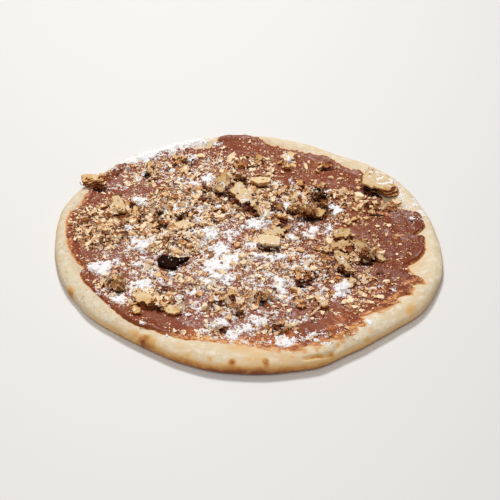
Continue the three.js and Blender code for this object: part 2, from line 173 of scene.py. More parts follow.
def around_the_rim(values, angle):
    """A smooth closed curve through values spaced evenly round the full turn."""
    values = np.asarray(values, float)
    place = (angle / (2 * np.pi)) % 1 * len(values)
    i = np.floor(place).astype(int)
    t = place - i
    before, start, end, after = (values[(i + k) % len(values)] for k in (-1, 0, 1, 2))
    slope_in, slope_out, rise = (end - before) / 2, (after - start) / 2, end - start
    return (start + slope_in * t + (3 * rise - 2 * slope_in - slope_out) * t ** 2
            + (slope_in + slope_out - 2 * rise) * t ** 3)


RIPPLE_TABLE = 64
CHIP_TABLE = 32


def ripple(x, y, size, seed):
    """Smooth random relief from -1 to 1 with bumps about size across."""
    table = np.random.default_rng(seed).uniform(-1, 1, (RIPPLE_TABLE, RIPPLE_TABLE))
    i, j = np.floor(x / size).astype(int), np.floor(y / size).astype(int)
    s, t = x / size - i, y / size - j
    s, t = s * s * (3 - 2 * s), t * t * (3 - 2 * t)
    i, j, next_i, next_j = (k % RIPPLE_TABLE for k in (i, j, i + 1, j + 1))
    near = table[i, j] * (1 - s) + table[next_i, j] * s
    far = table[i, next_j] * (1 - s) + table[next_i, next_j] * s
    return near * (1 - t) + far * t


def chips(x, y, size, seed):
    """Broken relief from -1 to 1: each place takes the value of the nearest of scattered points."""
    random = np.random.default_rng(seed)
    offset_x, offset_y = random.uniform(0.1, 0.9, (2, CHIP_TABLE, CHIP_TABLE))
    values = random.uniform(-1, 1, (CHIP_TABLE, CHIP_TABLE))
    i, j = np.floor(x / size).astype(int), np.floor(y / size).astype(int)
    best, value = np.full(np.shape(x), 9.0), np.zeros(np.shape(x))
    for near_i, near_j in ((i + di, j + dj) for di in (-1, 0, 1) for dj in (-1, 0, 1)):
        cell = (near_i % CHIP_TABLE, near_j % CHIP_TABLE)
        away = np.hypot(near_i + offset_x[cell] - x / size, near_j + offset_y[cell] - y / size)
        value = np.where(away < best, values[cell], value)
        best = np.minimum(best, away)
    return value


print("rim height", min(RIM_HEIGHTS), "to", max(RIM_HEIGHTS), "mm")

# %% [markdown]
# ## Where crumbs lie
# The crushed wafer was sprinkled by hand, so it is dense in some areas and thin in others. A few
# ellipses say how much of it each area got. The relief of the spread and the crumbs both use them.

# %% Crumb fields
CRUMB_FIELDS = [
    # x, y, half length, half width, share of the scatter that is kept
    (-62, 22, 48, 40, 1), (5, 42, 46, 34, 1), (-108, 18, 24, 34, 0.8), (-40, -24, 44, 26, 0.9),
    (28, -22, 52, 30, 1), (76, -30, 30, 44, 0.8), (30, -78, 44, 30, 0.7), (-12, -70, 24, 30, 0.8),
    (-45, 90, 50, 26, 0.5), (30, 100, 36, 18, 0.35), (72, 46, 30, 36, 0.6), (-88, -62, 30, 30, 0.35),
]
CRUMB_SHARE_ELSEWHERE = 0.06


def sprinkled(x, y, fields, elsewhere):
    """The largest share that any of the fields gives to each place."""
    share = np.full_like(x, elsewhere)
    for field_x, field_y, half_length, half_width, part in fields:
        away = np.hypot((x - field_x) / half_length, (y - field_y) / half_width)
        share = np.maximum(share, part * np.clip(2.4 * (1.15 - away), 0, 1))
    return share


def crumb_share(x, y):
    """How densely the coarse crumbs lie, from 0 to 1."""
    return sprinkled(x, y, CRUMB_FIELDS, CRUMB_SHARE_ELSEWHERE)


print("crumb fields", len(CRUMB_FIELDS))

# %% [markdown]
# ## Smaller bits and painted shade in hollows
# Far more small bits than coarse crumbs lie on a pizza like this, and they have dense areas of
# their own. Between the larger pieces are deep gaps that hardly any light reaches. They are drawn
# as ellipses too, with a ragged edge, because a gap's place is known but not its exact outline.
# Their shade is painted: the spread and the crumbs in them are coloured dark.

# %% Smaller bits and painted shade in hollows
BIT_FIELDS = [
    # x, y, half length, half width, share: where the smaller bits lie, and how densely
    (-62, 20, 46, 36, 1), (-40, 52, 36, 20, 0.9), (-54, -12, 24, 13, 1), (-108, 14, 26, 32, 0.92),
    (8, 46, 34, 26, 0.85), (-10, 72, 26, 18, 0.75), (42, 50, 30, 22, 0.8), (78, -12, 22, 20, 0.6),
    (48, -38, 20, 13, 0.7), (16, 0, 26, 16, 0.5), (-12, -72, 18, 18, 0.8), (-66, -72, 20, 14, 0.7),
    (-98, -56, 14, 12, 0.7), (22, -104, 18, 10, 0.5), (-20, -102, 8, 8, 0.6), (30, -26, 50, 26, 0.3),
    (76, 44, 30, 26, 0.42), (-70, 84, 34, 24, 0.3), (0, 95, 58, 18, 0.3), (60, -62, 36, 22, 0.36),
    (8, -58, 40, 26, 0.24), (-40, -40, 36, 26, 0.3), (-84, -34, 34, 34, 0.22), (85, 76, 18, 14, 0.25),
    (62, 98, 12, 7, 0.4), (92, -46, 20, 12, 0.3), (106, 46, 18, 8, 0.5),
]
BIT_SHARE_ELSEWHERE = 0.08
PAINTED_SHADE_HOLLOWS = [
    # x, y, half length, half width, turn in degrees: deep gaps between the larger pieces, painted dark as
    # shade
    (58, 41, 5, 9, 20), (51, 26, 11, 4, 8), (4, 32, 5, 9, 40), (26, 15, 7, 4, -50), (-60, 46, 10, 3, 0),
    (-65, 12, 5, 6, 0), (-81, 80, 3, 5, 0), (-58, 95, 5, 2.5, 0), (-93, -60, 6, 6, 0),
    (-70, -82.5, 15, 5, -24), (-58, -60, 6, 3, -30), (-13, -64, 8, 4, -20), (12, -74, 4, 7, 30),
    (49, -44, 7, 3, 15), (61, -23, 5, 4, 0), (72, -40, 9, 3, -45), (-8, 61, 8, 4, 0),
    (78, -11, 3, 7, 0), (93, -23, 7, 3, -20), (100, 33, 7, 2.5, 0),
    (-46, -6, 6, 4, 0), (-31, 62, 6, 3, 0), (34, 33, 5, 4, 0), (-22, 34, 6, 4, 0), (-98, 23, 8, 3, 0),
    (17, -14, 8, 3, 0), (10, 67, 9, 3, 0), (-4, 95, 6, 2.5, 0), (61, 94, 5, 2.5, 0), (28, 68, 9, 3, 0),
    (-17, 54, 6, 4, 0), (-8, 69, 5, 5, 0), (2, 78, 6, 3, 0), (47, 28, 12, 4, 10), (-70, 30, 6, 4, 0),
    (-52, 22, 6, 5, 30), (-90, 40, 4, 6, 0), (-46, 30, 5, 3, 0), (-34, 48, 6, 4, 0), (66, 58, 4, 5, 0),
    (-24, 55, 3, 5, 0), (88, -25, 6, 3, 0), (20, -103, 7, 3, 0), (-16, -104, 3, 4, 0), (40, -55, 5, 2.5, 0),
    (53, 62, 6, 2.5, 25), (46, 48, 5, 3, -20), (60, 53, 2.5, 6, 0), (40, 36, 4, 2.5, 0), (80, -34, 4, 2, -30),
    (98, 64.5, 13, 3, -30),
]


def bit_share(x, y):
    """How densely the smaller bits lie, from 0 to 1."""
    return sprinkled(x, y, BIT_FIELDS, BIT_SHARE_ELSEWHERE)


def in_patch(x, y, patch):
    """1 in the middle of an ellipse, 0 on its edge and negative outside it."""
    turn = math.radians(patch[4])
    along = (x - patch[0]) * math.cos(turn) + (y - patch[1]) * math.sin(turn)
    across = (y - patch[1]) * math.cos(turn) - (x - patch[0]) * math.sin(turn)
    return 1 - np.hypot(along / patch[2], across / patch[3])


def painted_hollow_shade(x, y):
    """How much shade is painted for the gaps: 1 in a gap, 0 away from all of them."""
    ragged = 0.35 * ripple(x, y, 3.5, 50) + 0.2 * ripple(x, y, 1.6, 51)
    return np.max([np.clip(1.8 * (in_patch(x, y, gap) + ragged) + 0.15, 0, 1) for gap in PAINTED_SHADE_HOLLOWS], 0)


print("bit fields", len(BIT_FIELDS), "dark hollows", len(PAINTED_SHADE_HOLLOWS))

# %% [markdown]
# ## Heights of the dough and the spread
# The rim is a rounded shoulder, a crown and a slope down to the base. Small swellings from the
# oven, and one fold near the front right, are added to it. The spread follows the dough and ends
# in a rounded lip, thick where it was left standing and thin where it was scraped off.

# %% Height functions
MIDDLE_OF_RIM = 145
MIDDLE_OF_LIP = 130
CRUST_SWELL = 0.9
SWELL_FADES_OVER = 0.12
SPREAD_CLEARANCE = 0.05
LIP_WIDTH = 4
LIP_SLOPE = 14
SMEAR_THINNING = 0.6
RELIEF_SHARE = 0.8
DEEPEST_RELIEF = -0.9
RIM_CREASES = [
    # x and y of both ends, depth, half width: the fold near the front right
    (39, -134.5, 55, -130.8, 1.7, 1.1), (54, -131.2, 61, -127, 1.8, 1.2), (60, -127.8, 66, -119, 1.2, 1.3),
]
SPREAD_NOTCHES = [
    # angle in degrees, half width in degrees, depth in mm, negative for a lobe
    (4.5, 1.5, 8), (355.5, 2.6, -2), (348, 2.4, 4), (339.5, 1.6, -2), (336, 1.1, 3), (331.5, 1.6, -3),
    (325, 2.5, -3), (22, 3, 3), (196.8, 2.2, 4.5), (131, 2, 3), (312.5, 1.4, 5), (309, 1.2, -3),
    (342.5, 1.0, 2), (240, 1.2, 1.5), (303, 1.4, -2), (294, 1.6, 1.5),
]
LIP_THICKNESS = [3.3, 2.4, 1.6, 1.8, 1.6, 2.2, 3.0, 3.2, 2.6, 0.9, 1.4, 2.2]
THIN_REACH = [
    1, 0, 0, 1, 1, 1, 1, 1, 1, 1.5, 2, 2.5, 3, 1.5, 0.2, 0.2, 0.5, 9, 10, 3, 5, 6, 3, 1.5,
]
SMEAR_PATCHES = [
    # x, y, half length, half width, turn in degrees, strength: spread scraped thin and orange
    (118, -50, 11, 3.4, 12, 0.9), (104, -67, 14, 3.4, 45, 0.7), (86, -87, 9, 3, 40, 0.7),
    (74, -104, 9, 3, 60, 0.6), (24, -122, 26, 3.6, 2, 0.55), (-22, -113.5, 26, 4, -4, 1.0),
    (114, 8, 6, 3, 30, 0.5), (104, 36, 9, 5, -20, 0.45), (-103, -47, 8, 3, 10, 0.55),
    (-114, 16, 8, 14, 0, 0.4), (128, 36, 5, 3, 60, 0.4), (58, -104, 8, 5, 20, 0.3),
    (96, -58, 12, 3, 25, 0.35), (-96, 44, 8, 10, 0, 0.3), (122, -34, 4, 3, 0, 0.5),
]
EDGE_JAGS = [0.3, 0.6, 0.9, 0.8, 1.0, 0.8, 0.8, 0.4, 0.5, 1.3, 1.5, 1.1]
KNIFE_CREASES = [
    # x and y of both ends, depth, half width
    (119, -20, 130, 7, 1.9, 1.2), (104, -15, 119, -18, 0.8, 1.0), (-131, -6, -127, 22, 0.6, 0.8),
    (-98, -86, -72, -101, 1.5, 1.0), (-116, -56, -101, -80, 1.1, 0.9), (-98, -26, -94, -42, 0.8, 0.8),
    (-91, -20, -88, -46, 0.6, 0.8), (96, -52, 116, -44, 0.6, 0.8),
]


def crust_radius(angle):
    """How far the dough reaches, in millimetres."""
    x, y = MIDDLE_OF_RIM * np.cos(angle), MIDDLE_OF_RIM * np.sin(angle)
    return around_the_rim(CRUST_RADII, angle) + 0.6 * ripple(x, y, 17, 1)


def spread_radius(angle):
    """How far the spread reaches: its own curve, small jags, and the larger notches and lobes."""
    radius = around_the_rim(SPREAD_RADII, angle)
    x, y = MIDDLE_OF_LIP * np.cos(angle), MIDDLE_OF_LIP * np.sin(angle)
    jags = 1.2 * ripple(x, y, 7, 2) + 0.9 * ripple(x, y, 3, 3) + 0.6 * chips(x, y, 2.4, 4)
    radius = radius + jags * around_the_rim(EDGE_JAGS, angle)
    for middle, half_width, depth in SPREAD_NOTCHES:
        away = (np.degrees(angle) - middle + 180) % 360 - 180
        radius = radius - depth * np.exp(-(away / half_width) ** 2)
    return np.minimum(radius, crust_radius(angle) - SPREAD_FROM_EDGE)


def creases(x, y, lines, wander):
    """How near each place is to the given lines, times their depths, in millimetres."""
    deep = np.zeros_like(x)
    for x0, y0, x1, y1, depth, half_width in lines:
        length = math.hypot(x1 - x0, y1 - y0)
        along = ((x - x0) * (x1 - x0) + (y - y0) * (y1 - y0)) / length
        across = ((x - x0) * (y1 - y0) - (y - y0) * (x1 - x0)) / length + wander * ripple(x, y, 6, 12)
        ends = np.clip(np.minimum(along, length - along) / 3 + 0.5, 0, 1)
        deep = np.maximum(deep, depth * ends * np.exp(-(across / half_width) ** 2))
    return deep


def crust_top(angle, radius):
    """The upper side of the dough: a shoulder up to the crown, then a slope down to the base."""
    width = around_the_rim(RIM_WIDTHS, angle)
    height = around_the_rim(RIM_HEIGHTS, angle)
    inward = np.clip((crust_radius(angle) - radius) / width, 0, 1)
    low = height * SHOULDER_HEIGHT
    shoulder = low + (height - low) * np.sqrt(np.clip(1 - (1 - inward / CROWN_AT) ** 2, 0, 1))
    slope = np.clip((inward - CROWN_AT) / (1 - CROWN_AT), 0, 1)
    inner = BASE_THICKNESS + (height - BASE_THICKNESS) * (0.5 + 0.5 * np.cos(np.pi * slope))
    x, y = radius * np.cos(angle), radius * np.sin(angle)
    swell = 0.6 * ripple(x, y, 19, 5) + 0.34 * ripple(x, y, 8, 6) + 0.2 * ripple(x, y, 4, 7)
    swell = swell + 0.13 * ripple(x, y, 2.1, 17)
    fade = np.clip(inward / SWELL_FADES_OVER, 0, 1)
    folded = creases(x, y, RIM_CREASES, 0.3)
    return np.where(inward < CROWN_AT, shoulder, inner) + CRUST_SWELL * swell * fade - folded


def crust_bottom(angle, radius):
    """The lower side of the rim, which rounds up from the table to the shoulder."""
    foot = around_the_rim(RIM_WIDTHS, angle) * FOOT_AT
    inward = np.clip((crust_radius(angle) - radius) / foot, 0, 1)
    low = around_the_rim(RIM_HEIGHTS, angle) * SHOULDER_HEIGHT
    return low * (1 - np.sqrt(np.clip(1 - (1 - inward) ** 2, 0, 1)))


def thinness(angle, radius):
    """1 where the spread was scraped to a smear, near its edge, and 0 where it is whole."""
    x, y = radius * np.cos(angle), radius * np.sin(angle)
    reach = np.maximum(around_the_rim(THIN_REACH, angle), 0.01) * (1 + 0.7 * ripple(x, y, 7, 13))
    near_edge = np.clip(1 - (spread_radius(angle) - radius) / np.maximum(reach, 0.01), 0, 1)
    streaky = 0.3 * ripple(x * 0.4, y, 3, 18) + 0.25 * ripple(x * 0.6, y, 1.5, 19)
    scraped = [patch[5] * np.clip(1.6 * (in_patch(x, y, patch) + streaky), 0, 1) for patch in SMEAR_PATCHES]
    return np.maximum(near_edge * np.clip(0.75 + 0.7 * ripple(x * 0.3, y, 2.4, 14), 0, 1), np.max(scraped, 0))


def knife_marks(x, y):
    """Low ridges that the knife left, most of all in the thick spread on the right."""
    right_side = np.clip((x - 88) / 25, 0, 1)
    bent = x + 0.0035 * y ** 2
    ridges = np.clip(ripple(bent, y * 0.12, 4.2, 8), 0, 1) * right_side
    marks = ridges + 0.3 * ripple(x, y * 0.6, 6, 9) + 0.3 * ripple(x, y, 13, 10)
    return marks - creases(x, y, KNIFE_CREASES, 0.7)


def spread_top(angle, radius):
    """The upper side of the spread, with its rounded lip, smears, knife marks and sunk-in bits."""
    edge = spread_radius(angle)
    lip = around_the_rim(LIP_THICKNESS, angle)
    inward = np.clip((edge - radius) / SPREAD_LIP, 0, 1)
    inner = np.clip((edge - radius - LIP_WIDTH) / LIP_SLOPE, 0, 1)
    thickness = (lip + (SPREAD_THICKNESS - lip) * inner) * (1 - SMEAR_THINNING * thinness(angle, radius))
    x, y = radius * np.cos(angle), radius * np.sin(angle)
    laden = bit_share(x, y) * (0.5 * ripple(x, y, 3.6, 15) + 0.35 * ripple(x, y, 2.1, 16))
    relief = np.maximum(knife_marks(x, y) + 0.12 * ripple(x, y, 2.6, 11) + laden, DEEPEST_RELIEF)
    rounded = np.sqrt(np.clip(1 - (1 - inward) ** 2, 0, 1))
    return crust_top(angle, radius) + SPREAD_CLEARANCE + (thickness + relief * RELIEF_SHARE) * rounded


def surface_height(x, y):
    """The top of the spread, or of the bare dough outside it."""
    angle, radius = np.arctan2(y, x), np.hypot(x, y)
    radius = np.minimum(radius, crust_radius(angle))
    on_spread = radius < spread_radius(angle)
    return np.where(on_spread, spread_top(angle, radius), crust_top(angle, radius))


print("middle of the spread is", round(float(surface_height(np.array(0.0), np.array(0.0))), 2), "mm up")

# %% [markdown]
# ## A turned body with moved steps
# Dough and spread are both made like a pot on a wheel: a profile is spun round the upright axis,
# and then each vertex is moved to its true radius and height. The profile stands at radius one
# with its steps one unit apart, so that a vertex still tells its angle and its step afterwards.

# %% Turned bodies
def numbers(owner, name, width):
    """One row of values for each vertex or face."""
    values = np.empty(len(owner) * width)
    owner.foreach_get(name, values)
    return values.reshape(-1, width)


def turned_body(name, step_count, segments, place):
    """place(angle, step) gives x, y and z in millimetres; steps 0 and the last lie on the axis."""
    bm = bmesh.new()
    profile = [bm.verts.new((0 if k in (0, step_count - 1) else 1, 0, k)) for k in range(step_count)]
    edges = [bm.edges.new(pair) for pair in zip(profile, profile[1:])]
    bmesh.ops.spin(bm, geom=profile + edges, axis=(0, 0, 1), cent=(0, 0, 0), steps=segments,
                   angle=2 * math.pi, use_merge=True)
    bmesh.ops.remove_doubles(bm, verts=bm.verts, dist=1e-4)
    thing = new_object(name, bm)
    mesh = thing.data
    old = numbers(mesh.vertices, "co", 3)
    angle = np.arctan2(old[:, 1], old[:, 0])
    step = np.rint(old[:, 2]).astype(int)
    new = place(angle, step)
    mesh.vertices.foreach_set("co", (new * MM).ravel())
    face_outwards(mesh)
    smooth(mesh)
    return thing, new


def ring_radius(step, rings):
    """The radius of each vertex: that of its step's ring, or 0 on the axis before and after them."""
    radius = np.zeros(len(step))
    for number, ring in enumerate(rings, 1):
        radius = np.where(step == number, ring, radius)
    return radius


def face_outwards(mesh):
    """Turns every face so that its normal points out of the solid."""
    bm = bmesh.new()
    bm.from_mesh(mesh)
    bmesh.ops.recalc_face_normals(bm, faces=bm.faces)
    bm.to_mesh(mesh)
    bm.free()


def smooth(mesh):
    """Shades all faces as one soft surface."""
    mesh.polygons.foreach_set("use_smooth", [True] * len(mesh.polygons))


def keep(mesh, name, values):
    """Stores one number for each vertex, which the material reads by name."""
    attribute = mesh.attributes.new(name, "FLOAT", "POINT")
    attribute.data.foreach_set("value", np.asarray(values, np.float32))


print("outline of the dough", len(CRUST_RADII), "points, of the spread", len(SPREAD_RADII))

# %% [markdown]
# ## Dough
# The dough is fine only where it shows: the rim. Under the spread a few rings are enough.

# %% Dough mesh
CRUST_SEGMENTS = 800
FINE_INSIDE_RIM = 12
BASE_PARTS = [0.3, 0.6, 0.75]
RIM_PARTS = list(np.linspace(0, 1, 46) ** 0.8)
FOOT_PARTS = [0.06, 0.14, 0.26, 0.42, 0.66, 1.0]


def crust_place(angle, step):
    """Where each step of the dough's profile belongs: base, rim, then under the rim to the foot."""
    outer, width = crust_radius(angle), around_the_rim(RIM_WIDTHS, angle)
    inner = outer - width - FINE_INSIDE_RIM
    rings = [inner * part for part in BASE_PARTS]
    rings += [inner + (outer - inner) * part for part in RIM_PARTS]
    top_steps = len(rings)
    rings += [outer - FOOT_AT * width * part for part in FOOT_PARTS]
    radius = ring_radius(step, rings)
    height = np.where(step <= top_steps, crust_top(angle, radius), crust_bottom(angle, radius))
    height = np.where(step > len(rings), 0, height)
    return np.stack([radius * np.cos(angle), radius * np.sin(angle), height], 1)


crust_steps = 2 + len(BASE_PARTS) + len(RIM_PARTS) + len(FOOT_PARTS)
crust, crust_points = turned_body("crust_baked", crust_steps, CRUST_SEGMENTS, crust_place)
print("crust", len(crust.data.polygons), "faces")

# %% [markdown]
# ## Spread
# The spread covers the base in one skin. Its rings are about a millimetre apart, so that knife
# marks and the lip are real relief, and its underside lies just in the dough, so no gap shows.

# %% Spread mesh
SPREAD_SEGMENTS = 720
SPREAD_PARTS = list(np.linspace(0, 0.965, 122)[1:])
LIP_PARTS = [0.72, 0.45, 0.25, 0.1, 0.02]
UNDER_PARTS = [1.0, 0.97, 0.7]
SUNK_INTO_DOUGH = 0.1


def spread_place(angle, step):
    """Where each step of the spread's profile belongs: the top, the lip, then the underside."""
    edge = spread_radius(angle)
    rings = [(edge - SPREAD_LIP) * part / SPREAD_PARTS[-1] for part in SPREAD_PARTS]
    rings += [edge - SPREAD_LIP * part for part in LIP_PARTS]
    top_steps = len(rings)
    rings += [edge * part for part in UNDER_PARTS]
    radius = ring_radius(step, rings)
    underside = crust_top(angle, radius) - SUNK_INTO_DOUGH
    height = np.where(step <= top_steps, spread_top(angle, radius), underside)
    return np.stack([radius * np.cos(angle), radius * np.sin(angle), height], 1)


spread_steps = 2 + len(SPREAD_PARTS) + len(LIP_PARTS) + len(UNDER_PARTS)
spread, spread_points = turned_body("spread_smeared", spread_steps, SPREAD_SEGMENTS, spread_place)
print("spread", len(spread.data.polygons), "faces")

# %% [markdown]
# ## Where the sugar lies
# Icing sugar fell in a few heavy patches and a fine veil. Each patch is an ellipse with a frayed
# edge. The same function later places the powder, so powder and veil agree.

# %% Sugar patches
SUGAR_PATCHES = [
    # x, y, half length, half width, turn in degrees, weight
    (-107, -37, 10, 8, 10, 1.0), (-78, -58, 8, 10, 20, 1.0), (-80, -9, 12, 7, 0, 0.9),
    (-92, 9.5, 6, 7, 0, 0.8), (-86, 45.5, 5, 8, 20, 0.9), (-54, 34.5, 8, 4, 0, 0.8),
    (-34, 76.5, 6, 7, -30, 0.9), (-29, 6.5, 12, 7, 10, 0.8), (-22, -14, 9, 10, 40, 0.9),
    (-12, -27, 12, 9, 30, 1.0), (-24, -30, 8, 9, 30, 1.0), (-18, -44, 7, 9, 0, 1.0),
    (11, -20, 10, 4, -10, 0.9), (27, -18, 6, 5, 0, 1.0), (7, 18.5, 9, 8, 0, 1.15), (30, 43.5, 5, 5, 0, 1.2),
    (34, 4.5, 4, 7, 10, 1.1), (23, -53, 7, 13, 20, 1.0), (67, 39.5, 6, 7, 0, 1.15),
    (-84, 110, 13, 7, 40, 1.35), (-58, 125, 13, 6, 25, 1.25), (-90, -70, 9, 6, -30, 0.9),
    (-70, -2, 5, 5, 0, 0.8), (-15, 8, 6, 5, 0, 0.8), (-32, -50, 6, 8, 0, 0.8), (-38, -62, 5, 5, 0, 0.7),
    (69, -58, 5, 9, -20, 1.0), (11, -91.5, 8, 5, -20, 1.0), (26, -120.5, 7, 6, 0, 1.0),
    (55, -121.5, 4, 3, 0, 0.9), (-18, -97.5, 7, 7, -30, 1.0), (-96, -73, 12, 8, -35, 0.7),
    (-50, 71.5, 7, 7, 0, 0.6), (-49, 107, 6, 8, 30, 0.7), (-46, 50.5, 4, 4, 0, 0.7),
    (24, 72.5, 4, 4, 0, 0.7), (36, 73.5, 3, 5, 0, 0.7), (50, 13.5, 5, 5, 0, 0.95),
    (37, -101.5, 9, 5, -35, 0.7), (33, -113.5, 3, 5, 0, 0.7), (54, -110.5, 4, 4, 0, 0.7),
    (3, -101.5, 5, 7, 0, 0.7), (-12, -108.5, 8, 5, -40, 0.8), (-104, 72.5, 6, 5, 0, 0.6),
    (65, 62.5, 5, 4, 0, 1.0), (-25, 127, 4, 4, 0, 0.7), (87, -97, 4, 3, -20, 0.9),
    (-72, 118, 15, 7, 35, 1.35), (-98, 100, 13, 5, 42, 1.1), (-46, 130, 15, 5, 18, 1.0),
    (130, 50.5, 12, 5, -68, 0.45),
    (47, -37, 4, 3, 0, 0.7), (-42, -34, 6, 5, 0, 0.6), (-36, -44, 6, 5, 0, 0.6),
    (-60, -65, 5, 4, 0, 0.5), (58, -42, 3, 3, 0, 0.7), (100, -51, 2.5, 1.6, 20, 0.8),
    (107, -58, 2, 1.6, 0, 0.7), (-70, -105.5, 2, 2, 0, 0.8), (-54, -113.5, 1.6, 1.4, 0, 0.8),
    (-60, 2.5, 7, 4, 30, 0.5), (14, 28.5, 6, 5, 0, 0.7), (-8, 10.5, 8, 6, 0, 0.5),
]
SUGAR_DUST = [
    # x, y, half length, half width, share
    (-18, -28, 32, 26, 0.45), (-18, -22, 48, 46, 0.38), (24, -20, 42, 26, 0.4), (-78, -36, 44, 40, 0.35),
    (-30, 40, 56, 38, 0.33), (14, -102, 60, 24, 0.38), (-20, -72, 44, 26, 0.34), (34, 30, 44, 44, 0.31),
    (-70, 96, 60, 30, 0.29), (60, -50, 40, 30, 0.25), (128, 50, 14, 36, 0.3), (-92, -66, 22, 16, 0.44),
    (-24, 2, 26, 18, 0.42), (10, -50, 30, 22, 0.4), (30, -58, 20, 20, 0.4), (-78, 112, 34, 12, 0.5),
    (-104, 66, 14, 12, 0.28), (50, 12, 28, 12, 0.38), (-48, 66, 20, 12, 0.4), (104, 74, 18, 14, 0.42),
    (32, 108, 8, 7, 0.55),
]


def sugar_cover(x, y):
    """0 where the surface is bare, up to 1 in a heavy patch."""
    fray = (0.3 * ripple(x, y, 5.2, 20) + 0.44 * ripple(x, y, 2.7, 21)
            + 0.46 * ripple(x, y, 1.5, 22) + 0.3 * ripple(x, y, 0.9, 23))
    bent_x, bent_y = x + 3 * ripple(x, y, 9, 24), y + 3 * ripple(x, y, 9, 25)
    fallen = np.zeros_like(x)
    for patch in SUGAR_PATCHES:
        fallen = np.maximum(fallen, patch[5] * np.clip(1.15 * in_patch(bent_x, bent_y, patch) + 0.46, 0, 1))
    for dust_x, dust_y, half_length, half_width, strength in SUGAR_DUST:
        away = np.hypot((bent_x - dust_x) / half_length, (bent_y - dust_y) / half_width)
        fallen = np.maximum(fallen, strength * np.clip(2 * (1.1 - away), 0, 1))
    cover = (1.25 * fallen - 0.21 + fray) * np.clip(fallen * 5, 0, 1)
    return np.clip(cover, 0, 1) * (1 - painted_hollow_shade(x, y))


print("sugar patches", len(SUGAR_PATCHES), "dusted areas", len(SUGAR_DUST))

# %% [markdown]
# ## Browning and stains
# In the oven the dough browns where it swells and in a few round spots. Towards its low edge, most
# of all at the front, it is darker: partly browned where it touched hot stone, partly painted shade.
# The spots along the fold near the front right are partly painted shade in its crease. Spread leaves
# an oily stain beside it. Each vertex keeps how browned and how shaded it is, and how stained, and the
# finish mixes its colours by that, so that a spot stays on its swelling.

# %% Browning and stains
BROWN_PATCHES = [
    # x, y, half length, half width, turn in degrees, strength
    (14, -139.4, 3.8, 3.6, 0, 0.85), (-9, -139, 3.4, 3.4, 0, 0.85), (-24, -136.8, 3.4, 2.6, 0, 0.5),
    (3, -137, 5, 3, 0, 0.35), (-77, -112, 8, 4, -40, 0.45), (-69, -119, 9, 5.5, -38, 1.0),
    (-127, -66, 3.6, 8, 25, 0.75), (117, -80, 9, 5, 50, 0.42), (88, -105, 6, 4, 40, 0.22),
    # these three follow the fold near the front right: partly browning, partly painted shade in its crease
    (47, -132.6, 9, 1.8, 13, 0.8), (59, -128.4, 6, 2, 38, 0.8), (64, -121, 3, 4, 0, 0.45),
    (110, -86, 5, 5, 0, 0.18), (-40, -133, 9, 4, -10, 0.35), (84, -112, 5, 3, 35, 0.4),
    (30, -134, 8, 3, 8, 0.3),
]
LOW_EDGE_BROWN_AND_SHADE = [0.15, 0.15, 0.15, 0.15, 0.15, 0.2, 0.22, 0.12, 0.6, 1.0, 0.45, 0.25]
STAIN_REACH = [0.5, 0.4, 0.6, 0.6, 0.6, 0.7, 2.2, 0.3, 0.3, 5, 4, 3]


def browning_and_shade(x, y, z, angle):
    """How browned the dough is, from 0 to 1, with painted shade along its low edge and in the fold."""
    brown = np.zeros_like(x)
    for patch in BROWN_PATCHES:
        frayed = in_patch(x, y, patch) + 0.22 * ripple(x, y, 3.6, 30) + 0.14 * ripple(x, y, 1.7, 33)
        brown = np.maximum(brown, patch[5] * np.clip(0.85 * frayed + 0.18, 0, 1))
    facing_front = around_the_rim(LOW_EDGE_BROWN_AND_SHADE, angle)
    # darker towards the bottom of the rim: partly browning, partly painted shade
    low_edge = np.clip((10.8 - z) / 6.4 + 0.16 * ripple(x, y, 11, 31), 0, 1) ** 1.2
    toned = 0.13 * facing_front * (1 + ripple(x, y, 9, 34))
    return np.max([brown, low_edge * facing_front, toned], 0)


def stain(angle, radius):
    """Oily traces of spread on the dough just outside its edge."""
    x, y = radius * np.cos(angle), radius * np.sin(angle)
    reach = around_the_rim(STAIN_REACH, angle) * (1 + 0.9 * ripple(x, y, 4.5, 32))
    outside = radius - spread_radius(angle)
    return np.clip(1 - outside / np.maximum(reach, 0.6), 0, 1) ** 0.9


crust_x, crust_y, crust_z = crust_points.T
crust_angle, crust_away = np.arctan2(crust_y, crust_x), np.hypot(crust_x, crust_y)
keep(crust.data, "browning_and_shade", browning_and_shade(crust_x, crust_y, crust_z, crust_angle))
keep(crust.data, "stain", stain(crust_angle, crust_away))
keep(crust.data, "sugar", sugar_cover(crust_x, crust_y) * (crust_z > 4))
keep(crust.data, "specks", np.clip(-crust_x / 70 - 0.7, 0, 1))
spread_x, spread_y = spread_points[:, 0], spread_points[:, 1]
keep(spread.data, "sugar", sugar_cover(spread_x, spread_y))
keep(spread.data, "thin", thinness(np.arctan2(spread_y, spread_x), np.hypot(spread_x, spread_y)))
keep(spread.data, "thick", np.clip((spread_x - 65) / 40, 0, 1))
print("brown patches", len(BROWN_PATCHES))

# %% [markdown]
# ## Finishes
# Each finish is a Principled shader whose colour is mixed in a few steps: a base with slow and
# fast variation, then the stored masks. A small helper adds the nodes, so that each finish reads
# as a short list of what lies over what.

# %% Material helpers
def srgb(red, green, blue):
    """A colour given as it looks on screen, from 0 to 255, as the linear colour of a shader."""
    parts = [value / 255 for value in (red, green, blue)]
    return tuple(((part + 0.055) / 1.055) ** 2.4 if part > 0.04 else part / 12.92 for part in parts)


SUGAR_WHITE = srgb(248, 246, 246)
MIX_UNDER, MIX_OVER, MIX_RESULT = 6, 7, 2


